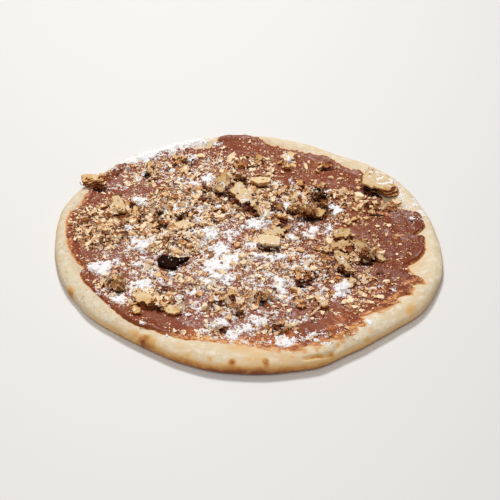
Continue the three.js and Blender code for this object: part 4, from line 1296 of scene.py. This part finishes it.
def wafer_flake(seed, corners):
    """A thin plate of radius and half thickness one, with a broken outline."""
    random = np.random.default_rng(seed)
    bm = bmesh.new()
    bmesh.ops.create_circle(bm, cap_ends=True, segments=corners, radius=1)
    for vertex in bm.verts:
        vertex.co *= float(random.uniform(0.45, 1.2))
        vertex.co.z = float(random.uniform(-1.2, -0.7))
    raised = bmesh.ops.extrude_face_region(bm, geom=list(bm.faces))
    for element in raised["geom"]:
        if isinstance(element, bmesh.types.BMVert):
            element.co += Vector((*random.normal(0, 0.09, 2), random.uniform(1.5, 2.2)))
    return as_shape(bm, 0.42)


def curled_flake(seed, long_steps=4, wide_steps=3):
    """A thin curved plate of radius one with a torn outline."""
    random = np.random.default_rng(seed)
    curl = float(random.uniform(0.1, 0.75))
    bm = bmesh.new()
    bmesh.ops.create_grid(bm, x_segments=long_steps, y_segments=wide_steps, size=0.9)
    for vertex in bm.verts:
        reach_part = float(random.uniform(0.66, 1.2)) if vertex.is_boundary else 1.0
        vertex.co = reach_part * vertex.co + Vector((*random.uniform(-0.09, 0.09, 2), 0))
    for vertex in bm.verts:
        vertex.co.z = curl * vertex.co.y ** 2 - 0.2 * curl * vertex.co.x + float(random.uniform(-0.05, 0.05))
    bmesh.ops.solidify(bm, geom=bm.faces[:], thickness=float(random.uniform(0.1, 0.2)))
    return as_shape(bm, 0.0)


def broken_lump(seed, cuts):
    """A ball of radius one, jittered and cut by random planes."""
    random = np.random.default_rng(seed)
    bm = bmesh.new()
    bmesh.ops.create_icosphere(bm, subdivisions=1, radius=1)
    for vertex in bm.verts:
        vertex.co *= float(random.uniform(0.75, 1.15))
    for _ in range(cuts):
        way = Vector(random.normal(size=3)).normalized()
        whole = list(bm.verts) + list(bm.edges) + list(bm.faces)
        bmesh.ops.bisect_plane(bm, geom=whole, dist=1e-4, plane_co=way * float(random.uniform(0.35, 0.6)),
                               plane_no=way, clear_outer=True)
        bmesh.ops.holes_fill(bm, edges=[edge for edge in bm.edges if edge.is_boundary])
    bmesh.ops.remove_doubles(bm, verts=bm.verts, dist=0.04)
    return as_shape(bm, 0.1)


def grit(seed):
    """A cube of half side one with its corners jittered."""
    random = np.random.default_rng(seed)
    bm = bmesh.new()
    bmesh.ops.create_cube(bm, size=1.5)
    for vertex in bm.verts:
        vertex.co += Vector(random.uniform(-0.36, 0.36, 3))
    return as_shape(bm, 0.0)


curled_shapes = [curled_flake(seed) for seed in range(480, 496)]
flake_shapes = [wafer_flake(seed, 7 + seed % 4) for seed in range(500, 514)]
small_flake_shapes = [wafer_flake(seed, 5 + seed % 2) for seed in range(520, 536)]
lump_shapes = [broken_lump(seed, 2) for seed in range(540, 548)]
grit_shapes = [grit(seed) for seed in range(560, 572)]
print("triangles of the shapes", [len(shape[1]) for shape in curled_shapes + flake_shapes + lump_shapes])

# %% [markdown]
# ## Joining many crumbs
# Thousands of separate objects would be slow and hard to handle. So each sort of crumb becomes one
# mesh: every shape is turned, scaled and moved as an array of numbers, once for each of its bits,
# and all points and triangles are joined at the end, with a toasting for each vertex.

# %% Joining many crumbs
def turn_matrices(turn, pitch, roll):
    """One rotation for each crumb, from three arrays of angles in radians."""
    cos_t, sin_t = np.cos(turn), np.sin(turn)
    cos_p, sin_p = np.cos(pitch), np.sin(pitch)
    cos_r, sin_r = np.cos(roll), np.sin(roll)
    rows = [[cos_t * cos_p, cos_t * sin_p * sin_r - sin_t * cos_r, cos_t * sin_p * cos_r + sin_t * sin_r],
            [sin_t * cos_p, sin_t * sin_p * sin_r + cos_t * cos_r, sin_t * sin_p * cos_r - cos_t * sin_r],
            [-sin_p, cos_p * sin_r, cos_p * cos_r]]
    return np.array(rows).transpose(2, 0, 1)


def three_sides(random, lengths, widths, thicknesses):
    """Sizes of many bits: the other two sides are random parts of each length."""
    shares = [random.uniform(*limits, len(lengths)) for limits in (widths, thicknesses)]
    return lengths[:, None] * np.stack([np.ones(len(lengths)), *shares], 1)


def joined(name, shapes, places, sizes, turns, marks, finish):
    """Many small things as one mesh: shapes are taken in turn, marks are kept for each vertex."""
    all_points, all_triangles, all_marks, first = [], [], {key: [] for key in marks}, 0
    for number, (points, triangles, shades) in enumerate(shapes):
        rows = np.arange(number, len(places), len(shapes))
        if len(rows) == 0:
            continue
        scaled = points[None] * sizes[rows][:, None] / 2
        moved = np.einsum("nij,nkj->nki", turns[rows], scaled) + places[rows][:, None]
        all_points.append(moved.reshape(-1, 3))
        starts = first + len(points) * np.arange(len(rows))
        all_triangles.append((triangles[None] + starts[:, None, None]).reshape(-1, 3))
        for key, values in marks.items():
            shaded = values[rows][:, None] + (shades if key == "toast_and_shade" else 0 * shades)
            all_marks[key].append(shaded.ravel())
        first += len(points) * len(rows)
    thing = new_piece(name, np.concatenate(all_points), np.concatenate(all_triangles).tolist())
    for key, values in all_marks.items():
        keep(thing.data, key, np.concatenate(values))
    dress(thing, finish)
    print(name, len(places), "bits", len(thing.data.polygons), "triangles")
    return thing


sample_turn = turn_matrices(*np.ones((3, 1)))[0]
print("a turn stretches nothing, so its determinant is", round(float(np.linalg.det(sample_turn)), 6))

# %% [markdown]
# ## Splinters on the wafer pieces
# The rough chunks are heaps of broken sheets. Plates stuck in their surface at odd angles give
# them that look, and a few small ones sit on the larger wafers.

# %% Splinters
def facing(directions, random):
    """One rotation for each direction, which turns a shape's own upright axis to it."""
    up = directions / np.linalg.norm(directions, axis=1, keepdims=True)
    side = np.cross(up, random.normal(size=up.shape))
    side /= np.linalg.norm(side, axis=1, keepdims=True)
    return np.stack([side, np.cross(up, side), up], 2)


starts, start_normals, start_tones, start_scales = (np.concatenate(part) for part in zip(*splinter_starts))
random = np.random.default_rng(350)
lengths = start_scales * random.uniform(2.6, 6.4, len(starts))
splinter_sizes = three_sides(random, lengths, (0.4, 0.8), (0.7, 1.0))
tipped = facing(start_normals + random.normal(0, 0.75, starts.shape), random)
start_toast = np.clip(start_tones * 0.5 + 0.1 + random.normal(0, 0.2, len(starts)), 0, 1)
start_marks = {
    "toast_and_shade": start_toast,
    "cream": random.uniform(-1, 1, len(starts)).clip(0, 1),
    "sugar": sugar_cover(starts[:, 0], starts[:, 1]) * 0.6,
}
joined("wafer_splinters", curled_shapes, starts, splinter_sizes, tipped, start_marks, wafer)
raise_pile(starts[:, 0], starts[:, 1], starts[:, 2] + 0.8)

# %% [markdown]
# ## Heaps of curled wafer
# Where the wafer was crushed least, torn and curled sheets lie in small leafy heaps, with their
# edges standing up and deep shadows between them. Each heap is a round area with so many sheets,
# which are laid one after another, so that later ones rest on earlier ones.

# %% Heaps
HEAPS = [
    # x, y, radius, sheets, longest sheet, toasting
    (66, -6, 8, 13, 12, 0.36), (86, -8, 7, 13, 12, 0.4), (97, -14, 5, 7, 10, 0.36),
    (80, -22, 5, 8, 9, 0.42), (7, 38, 9, 10, 11, 0.25), (-13, 44, 8, 6, 10, 0.25),
    (41, 42, 12, 16, 10, 0.26), (56, 34, 7, 8, 8, 0.35), (28, 56, 8, 8, 8, 0.25), (55, 50, 6, 9, 9, 0.5),
    (-97, -54, 8, 9, 8, 0.25), (-62, -74, 12, 9, 8, 0.15), (-50, -82, 7, 6, 7, 0.2),
    (-10, -74, 12, 18, 8, 0.25), (8, -66, 8, 8, 7, 0.4), (-57, -10, 14, 20, 8, 0.25),
    (-62, 18, 12, 14, 9, 0.2), (-58, 42, 10, 10, 8, 0.25), (-8, 68, 8, 14, 8, 0.42),
    (47, -40, 8, 9, 8, 0.35), (22, -100, 8, 8, 7, 0.4), (-20, -101, 5, 6, 6, 0.5), (-82, 86, 4, 4, 7, 0.3),
    (-57, 100, 5, 4, 7, 0.25), (-114, 60, 6, 6, 6, 0.2), (96, 38, 7, 6, 7, 0.35), (73, 62, 8, 9, 8, 0.3),
    (-30, 28, 12, 9, 8, 0.2), (-84, 12, 12, 10, 8, 0.2), (-108, 18, 12, 12, 7, 0.2), (18, -28, 12, 6, 6, 0.3),
    (88, -42, 12, 8, 6, 0.25), (-40, -56, 10, 9, 7, 0.25), (62, 98, 5, 5, 6, 0.4), (20, 82, 10, 7, 7, 0.25),
    (-36, 62, 8, 8, 8, 0.3), (110, 50, 9, 6, 5, 0.5), (-100, 34, 7, 5, 7, 0.2),
]
HEAP_LIMIT = 9.5
RIGHT_PILE_X, RIGHT_PILE_Y, RIGHT_PILE_RADIUS = 82, -12, 26


def settle(x, y, radius, thickness, rise):
    """Lowers one bit onto the pile, raises the pile under it, and returns its middle's height."""
    low_i, low_j = cell_of(x - radius, y - radius)
    high_i, high_j = cell_of(x + radius, y + radius)
    patch = piled[low_i:high_i + 1, low_j:high_j + 1]
    rest = min(float(patch.mean()), float(bare[cell_of(x, y)]) + HEAP_LIMIT)
    np.maximum(patch, rest + 0.7 * thickness + rise, out=patch)
    return rest + 0.25 * thickness + rise


leaf_shapes = [curled_flake(seed, 8, 5) for seed in range(440, 456)]
random = np.random.default_rng(351)
leaves = []
for heap_x, heap_y, heap_radius, count, longest, heap_toast in HEAPS:
    for _ in range(count):
        away, way = heap_radius * math.sqrt(random.uniform()), random.uniform(0, 2 * math.pi)
        length = longest * random.uniform(0.35, 1)
        x, y = heap_x + away * math.cos(way), heap_y + away * math.sin(way)
        toasting = random.choice([0.0, 0.1, 0.3, 0.7], p=[0.4, 0.3, 0.2, 0.1])
        if not wafer_ground[cell_of(x, y)]:
            leaves.append((x, y, length, np.clip(heap_toast - 0.2 + toasting + random.normal(0, 0.05), 0, 1)))
leaf_x, leaf_y, leaf_lengths, leaf_toast = np.array(leaves).T
leaf_sizes = three_sides(random, leaf_lengths, (0.35, 0.85), (0.7, 1.0))
in_right_pile = np.hypot(leaf_x - RIGHT_PILE_X, leaf_y - RIGHT_PILE_Y) < RIGHT_PILE_RADIUS
leaf_tilts = np.stack([
    random.uniform(0, 2 * np.pi, len(leaves)),
    random.normal(0, 0.3, len(leaves)),
    random.normal(0, 0.4, len(leaves)) * np.where(in_right_pile, 2.0, 1.0),
], 1)
leaf_rise = (0.3 * leaf_sizes[:, 1] * np.abs(np.sin(leaf_tilts[:, 2]))
             + 0.2 * leaf_lengths * np.abs(np.sin(leaf_tilts[:, 1])))
leaf_rows = zip(leaf_x, leaf_y, leaf_sizes[:, 1] / 4, 0.12 * leaf_lengths, leaf_rise)
leaf_z = np.array([settle(*row) for row in leaf_rows])
leaf_sugar = np.where(sugar_cover(leaf_x, leaf_y) > random.uniform(0.4, 1.0, len(leaves)), 0.9, 0)
leaf_cream = random.uniform(-3, 1, len(leaves)).clip(0, 1)
joined("wafer_leaves", leaf_shapes, np.stack([leaf_x, leaf_y, leaf_z], 1), leaf_sizes,
       turn_matrices(*leaf_tilts.T), {"toast_and_shade": leaf_toast, "cream": leaf_cream, "sugar": leaf_sugar},
       crumb_wafer)

# %% [markdown]
# ## Where crumbs fall
# The largest crumbs follow the rule that placed those of the solid: an even scatter, thinned by
# how densely each area was sprinkled. Smaller ones are drawn at random over the same areas, and
# lie on whatever is already there.

# %% Crumb places
PLASTIC = 1.32471795724474602596
CRUMB_COUNT, CRUMB_LONGEST, CRUMB_SHORTEST, CRUMB_EDGE_MARGIN = 150, 8.5, 3.8, 7


def draw(step, channel):
    """The repeatable random number from 0 to 1 for one step of a draw."""
    wave = math.sin(step * 12.9898 + channel * 78.233) * 43758.5453
    return wave - math.floor(wave)


pizza_reach = max(CRUST_RADII)
crumbs, step = [], 0
while len(crumbs) < CRUMB_COUNT:
    step += 1
    x, y = (pizza_reach * (2 * ((0.5 + step / PLASTIC ** power) % 1) - 1) for power in (1, 2))
    spread_edge = float(around_the_rim(SPREAD_RADII, np.array(math.atan2(y, x))))
    share = float(crumb_share(np.array(x), np.array(y)))
    if math.hypot(x, y) > spread_edge - CRUMB_EDGE_MARGIN or draw(step, 10) > share:
        continue
    if wafer_ground[cell_of(x, y)]:
        continue
    shrink = (1 - len(crumbs) / CRUMB_COUNT) ** 1.4
    length = CRUMB_SHORTEST + (CRUMB_LONGEST - CRUMB_SHORTEST) * shrink
    size = (length, length * (0.5 + 0.4 * draw(step, 11)), length * (0.34 + 0.2 * draw(step, 12)))
    degrees = (360 * draw(step, 13), -30 * draw(step, 14) + 15, 30 * draw(step, 15) - 15)
    crumbs.append((x, y, size, [math.radians(angle) for angle in degrees], draw(step, 16)))
print("crumbs of the solid", len(crumbs), "steps", step)
LONE_FLAKES = [
    # x, y, length: flat flakes that lie alone on the bare spread
    (-78, -91, 6), (-55, -101, 6.5), (-43, -107, 5), (-35, -105, 5), (-62, -88, 5), (-28, -90, 5),
    (-88, -79, 4), (62, -48, 6), (70, -72, 7), (78, -50, 6), (84, -63, 7.5), (92, -56, 6), (63, -62, 5),
    (77, -77, 6), (90, -72, 5), (97, -65, 5.5), (57, -58, 5), (82, -83, 5), (102, -47, 5), (54, -71, 6),
    (74, -66, 5), (86, -48, 7), (66, -84, 5), (108, 20, 4.5), (99, -5, 5), (112, -14, 3.5),
    (-118, -30, 4), (-104, -14, 5),
]
for number, (x, y, length) in enumerate(LONE_FLAKES):
    degrees = (360 * draw(number, 17), 8 * draw(number, 18) - 4, 8 * draw(number, 19) - 4)
    size = (length, length * (0.6 + 0.3 * draw(number, 20)), length * 0.16)
    crumbs.append((x, y, size, [math.radians(angle) for angle in degrees], 0.35 * draw(number, 21)))

# %% [markdown]
# ## Coarse, medium and fine crumbs
# Sizes run from most of a centimetre to under a millimetre, with many more small ones. Most are
# light tan, some toasted, and a few dark with cream or chocolate. Few stay on the tall wafers.
# Crumbs in hollows and just in front of tall pieces are painted dark as shade, and the fine grit that
# lies lowest is darker, partly toasted and partly painted shade.

# %% Crumbs
TOAST_LEVELS = [0.0, 0.12, 0.26, 0.42, 0.58, 0.76, 0.98]
LIGHT_ODDS = [0.26, 0.26, 0.18, 0.12, 0.09, 0.06, 0.03]
# the fine grit lies lowest, between larger crumbs, and draws from DARK_ODDS: partly toasted bits, partly
# painted shade in the gaps
DARK_ODDS = [0.2, 0.19, 0.17, 0.15, 0.14, 0.11, 0.04]
STAY_ON_WAFER = 0.06
COATED_SHARE = 0.14
DRAWS_PER_CRUMB = 20
DEEP = 0.4


def scattered(random, count, clump, sharpness, seed):
    """Random places on the spread, as dense as the sprinkling, gathered in small clumps."""
    x, y = random.uniform(-pizza_reach, pizza_reach, (2, count * DRAWS_PER_CRUMB))
    by_the_slab = np.hypot((x - 108) / 17, (y - 49) / 9) < 1
    inside = (np.hypot(x, y) < spread_radius(np.arctan2(y, x)) - 1.0) | by_the_slab
    uneven = 1 + clump * ripple(x, y, 11, seed) + clump * ripple(x, y, 4.5, seed + 1)
    gathered = bit_share(x, y) ** sharpness * uneven
    gathered = np.where(wafer_ground[cell_of(x, y)], gathered * STAY_ON_WAFER, gathered)
    gathered = np.where(shard_ground[cell_of(x, y)], 0, gathered)
    kept = inside & (random.uniform(0, 1.1, len(x)) < gathered)
    return x[kept][:count], y[kept][:count]


def crumb_mesh(name, shapes, seed, count, sharpness, shortest, longest, power, widths, thicknesses,
               tipping, odds=LIGHT_ODDS, first=()):
    """One sort of crumb as one mesh. A higher power makes more of them short, a higher tipping more
    of them steep, and first holds crumbs whose places are already known."""
    random = np.random.default_rng(seed)
    x, y = scattered(random, count, 0.9, sharpness, seed)
    lengths = shortest + (longest - shortest) * np.sort(random.uniform(0, 1, len(x))) ** power
    sizes = three_sides(random, lengths, widths, thicknesses)
    tilts = np.stack([
        random.uniform(0, 2 * np.pi, len(x)),
        random.normal(0, tipping, len(x)),
        random.normal(0, tipping, len(x)),
    ], 1)
    toast_and_shade = random.choice(TOAST_LEVELS, len(x), p=odds) + random.uniform(-0.06, 0.06, len(x))
    # crumbs are darker where bits lie densely, partly painted shade of the gaps between them, and darker
    # towards the right
    toast_and_shade = toast_and_shade * np.clip(0.3 + bit_share(x, y), 0.4, 1) + 0.2 * np.clip((x - 15) / 40, -0.25, 1)
    if first:
        first_x, first_y, first_sizes, first_tilts, first_draws = zip(*first)
        x, y = np.concatenate([x, first_x]), np.concatenate([y, first_y])
        sizes, tilts = np.concatenate([sizes, first_sizes]), np.concatenate([tilts, first_tilts])
        toast_and_shade = np.concatenate([toast_and_shade, [0.04 + 0.6 * drawn ** 1.8 for drawn in first_draws]])
    # painted shade: crumbs in hollows and just in front of tall pieces are made as dark as the gap
    deep = painted_shade(x, y)
    toast_and_shade = np.maximum(toast_and_shade, deep * random.uniform(0.7, 1.2, len(x)))
    coated = (random.uniform(0, 1, len(x)) < COATED_SHARE) * random.uniform(0.4, 1, len(x))
    powdered = np.where(sugar_cover(x, y) > random.uniform(0.4, 1.0, len(x)), 0.9, 0) * (deep < DEEP)
    rise = 0.14 * sizes[:, 0] * np.abs(np.sin(tilts[:, 1])) + 0.12 * sizes[:, 1] * np.abs(np.sin(tilts[:, 2]))
    depths = np.minimum(sizes[:, 2], 0.3 * sizes[:, 0])
    z = np.array([settle(*row) for row in zip(x, y, sizes[:, 1] / 2.8, depths, rise)])
    return joined(name, shapes, np.stack([x, y, z], 1), sizes, turn_matrices(*tilts.T),
                  {"toast_and_shade": toast_and_shade, "cream": coated, "sugar": powdered}, crumb_wafer)


crumb_mesh("crumbs_fine", grit_shapes, seed=602, count=12500, sharpness=0.75, shortest=0.45, longest=1.6,
           power=1.5, widths=(0.5, 1), thicknesses=(0.4, 0.8), tipping=0.4, odds=DARK_ODDS)
crumb_mesh("crumbs_medium", small_flake_shapes + lump_shapes, seed=601, count=4800, sharpness=1.1,
           shortest=1.1, longest=3.2, power=1.4, widths=(0.45, 0.95), thicknesses=(0.14, 0.28), tipping=0.3)
coarse_crumbs = crumb_mesh("crumbs_coarse", flake_shapes + lump_shapes, seed=600, count=1400, sharpness=1.5,
                           shortest=2.4, longest=6, power=1.7, widths=(0.45, 0.95), thicknesses=(0.14, 0.26),
                           tipping=0.28, first=crumbs)
crumb_mesh("crumbs_curled", curled_shapes, seed=603, count=900, sharpness=1.5, shortest=2.6, longest=6.6,
           power=1.5, widths=(0.4, 0.8), thicknesses=(0.7, 1.0), tipping=0.36)
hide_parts("spread")

# %% [markdown]
# ## Icing sugar
# The sugar fell last, so it lies on everything else. A heavy patch is a skin of powder, draped
# over the pile beneath it: a fine grid is cut to the patches, each corner is lifted to the height
# of the pile, and the sheet is made solid. Smooth wafer and the shard shed the powder.

# %% Powder skin
sugar = Finish("icing_sugar", srgb(249, 247, 247), 0.95)
sugar.shader.inputs["Specular IOR Level"].default_value = 0.15
grains = sugar.noise(0.6, 3)
sugar.over(srgb(240, 236, 236), sugar.limits(grains, 0.5, 0.7, 0, 0.5))
sugar.rough(grains, 0.88, 0.98)
sugar.bump(grains, 0.15)
# The loose grains are tinted warm: painted bounce light from the brown spread around them.
bounce_tinted_sugar = Finish("loose_icing_sugar_bounce_tint", srgb(255, 245, 236), 0.95)
bounce_tinted_sugar.shader.inputs["Specular IOR Level"].default_value = 0.15
bounce_tinted_sugar.over(srgb(248, 234, 222), bounce_tinted_sugar.limits(bounce_tinted_sugar.noise(0.8, 3), 0.45, 0.65, 0, 0.6))
POWDER_CELL = 0.6
POWDER_FROM = 0.42
POWDER_RISE = 1.7
POWDER_SUNK = 0.25
POWDER_THICKNESS = 0.4
SUGAR_FROM_EDGE = 2.5
TOO_SHELTERED = 0.3


def blurred(heights, cells):
    """Each cell's mean over a square that reaches some cells to every side."""
    side = 2 * cells + 1
    sums = np.pad(heights, ((cells + 1, cells), (cells + 1, cells)), mode="edge").cumsum(0).cumsum(1)
    return (sums[side:, side:] - sums[:-side, side:] - sums[side:, :-side] + sums[:-side, :-side]) / side ** 2


sheet = bmesh.new()
sheet_cells = int(2 * REACH / POWDER_CELL)
bmesh.ops.create_grid(sheet, x_segments=sheet_cells, y_segments=sheet_cells, size=REACH)
corners = np.array([vertex.co[:2] for vertex in sheet.verts])
corner_x, corner_y = corners.T
on_pizza = np.hypot(corner_x, corner_y) < crust_radius(np.arctan2(corner_y, corner_x)) - SUGAR_FROM_EDGE
on_pizza = on_pizza & ~smooth_ground[cell_of(corner_x, corner_y)]
cover = sugar_cover(corner_x, corner_y) * on_pizza * (shelter[cell_of(corner_x, corner_y)] < TOO_SHELTERED)
uncovered = [vertex for vertex, part in zip(sheet.verts, cover) if part < POWDER_FROM]
bmesh.ops.delete(sheet, geom=uncovered, context="VERTS")
draped = blurred(piled, 3)
heavy = cover >= POWDER_FROM
for vertex, (x, y), part in zip(sheet.verts, corners[heavy], cover[heavy]):
    vertex.co.z = draped[cell_of(x, y)] + POWDER_RISE * (part - POWDER_FROM) - POWDER_SUNK
lumpy = np.array([vertex.co for vertex in sheet.verts])
lift = 0.3 * ripple(lumpy[:, 0], lumpy[:, 1], 2.6, 40) + 0.12 * ripple(lumpy[:, 0], lumpy[:, 1], 1.2, 41)
for vertex, rise in zip(sheet.verts, lift):
    vertex.co.z += rise
raise_pile(lumpy[:, 0], lumpy[:, 1], lumpy[:, 2] + lift)
bmesh.ops.scale(sheet, vec=(MM, MM, MM), verts=sheet.verts)
bmesh.ops.solidify(sheet, geom=sheet.faces, thickness=POWDER_THICKNESS * MM)
bmesh.ops.recalc_face_normals(sheet, faces=sheet.faces)
powder_skin = new_object("sugar_powder", sheet)
smooth(powder_skin.data)
dress(powder_skin, sugar)
print("powder skin", len(powder_skin.data.polygons), "faces")

# %% [markdown]
# ## Sugar lumps and grains
# Damp sugar sticks together in soft lumps, and loose grains lie round the patches, where the veil
# is thin. Both are drawn at random, most often where the sugar is nearly heavy enough for a skin.

# %% Sugar lumps and grains
DRAWS_PER_GRAIN = 16
SUGAR_ODDS = 0.5
ON_THE_SKIN = 0.12
ON_CRUMBS = 0.03


def sugar_mesh(name, shapes, finish, seed, count, shortest, longest):
    """Many lumps or grains as one mesh, the longest ones first."""
    random = np.random.default_rng(seed)
    x, y = random.uniform(-pizza_reach, pizza_reach, (2, count * DRAWS_PER_GRAIN))
    inside = np.hypot(x, y) < crust_radius(np.arctan2(y, x)) - SUGAR_FROM_EDGE
    cover = sugar_cover(x, y) * (shelter[cell_of(x, y)] < TOO_SHELTERED)
    beside = np.where(cover < POWDER_FROM, cover, ON_THE_SKIN) * ~shard_ground[cell_of(x, y)]
    kept = inside & (random.uniform(0, SUGAR_ODDS, len(x)) < beside + ON_CRUMBS * crumb_share(x, y))
    x, y = x[kept][:count], y[kept][:count]
    lengths = shortest + (longest - shortest) * np.sort(random.uniform(0, 1, len(x)))[::-1] ** 2
    sizes = three_sides(random, lengths, (0.6, 1), (0.4, 0.75))
    tilts = random.uniform(0, 2 * np.pi, (len(x), 3)) * [1, 0.06, 0.06]
    z = np.array([settle(*row) for row in zip(x, y, sizes[:, 1] / 2.6, sizes[:, 2], 0 * x)])
    places = np.stack([x, y, z - 0.1 * sizes[:, 2]], 1)
    return joined(name, shapes, places, sizes, turn_matrices(*tilts.T), {}, finish)


lumps = sugar_mesh("sugar_lumps", lump_shapes, sugar, seed=700, count=1500, shortest=0.8, longest=2.2)
smooth(lumps.data)
# the grains take the warm tint of painted bounce light
sugar_mesh("sugar_grains", grit_shapes, bounce_tinted_sugar, seed=701, count=8000, shortest=0.5, longest=1.05)
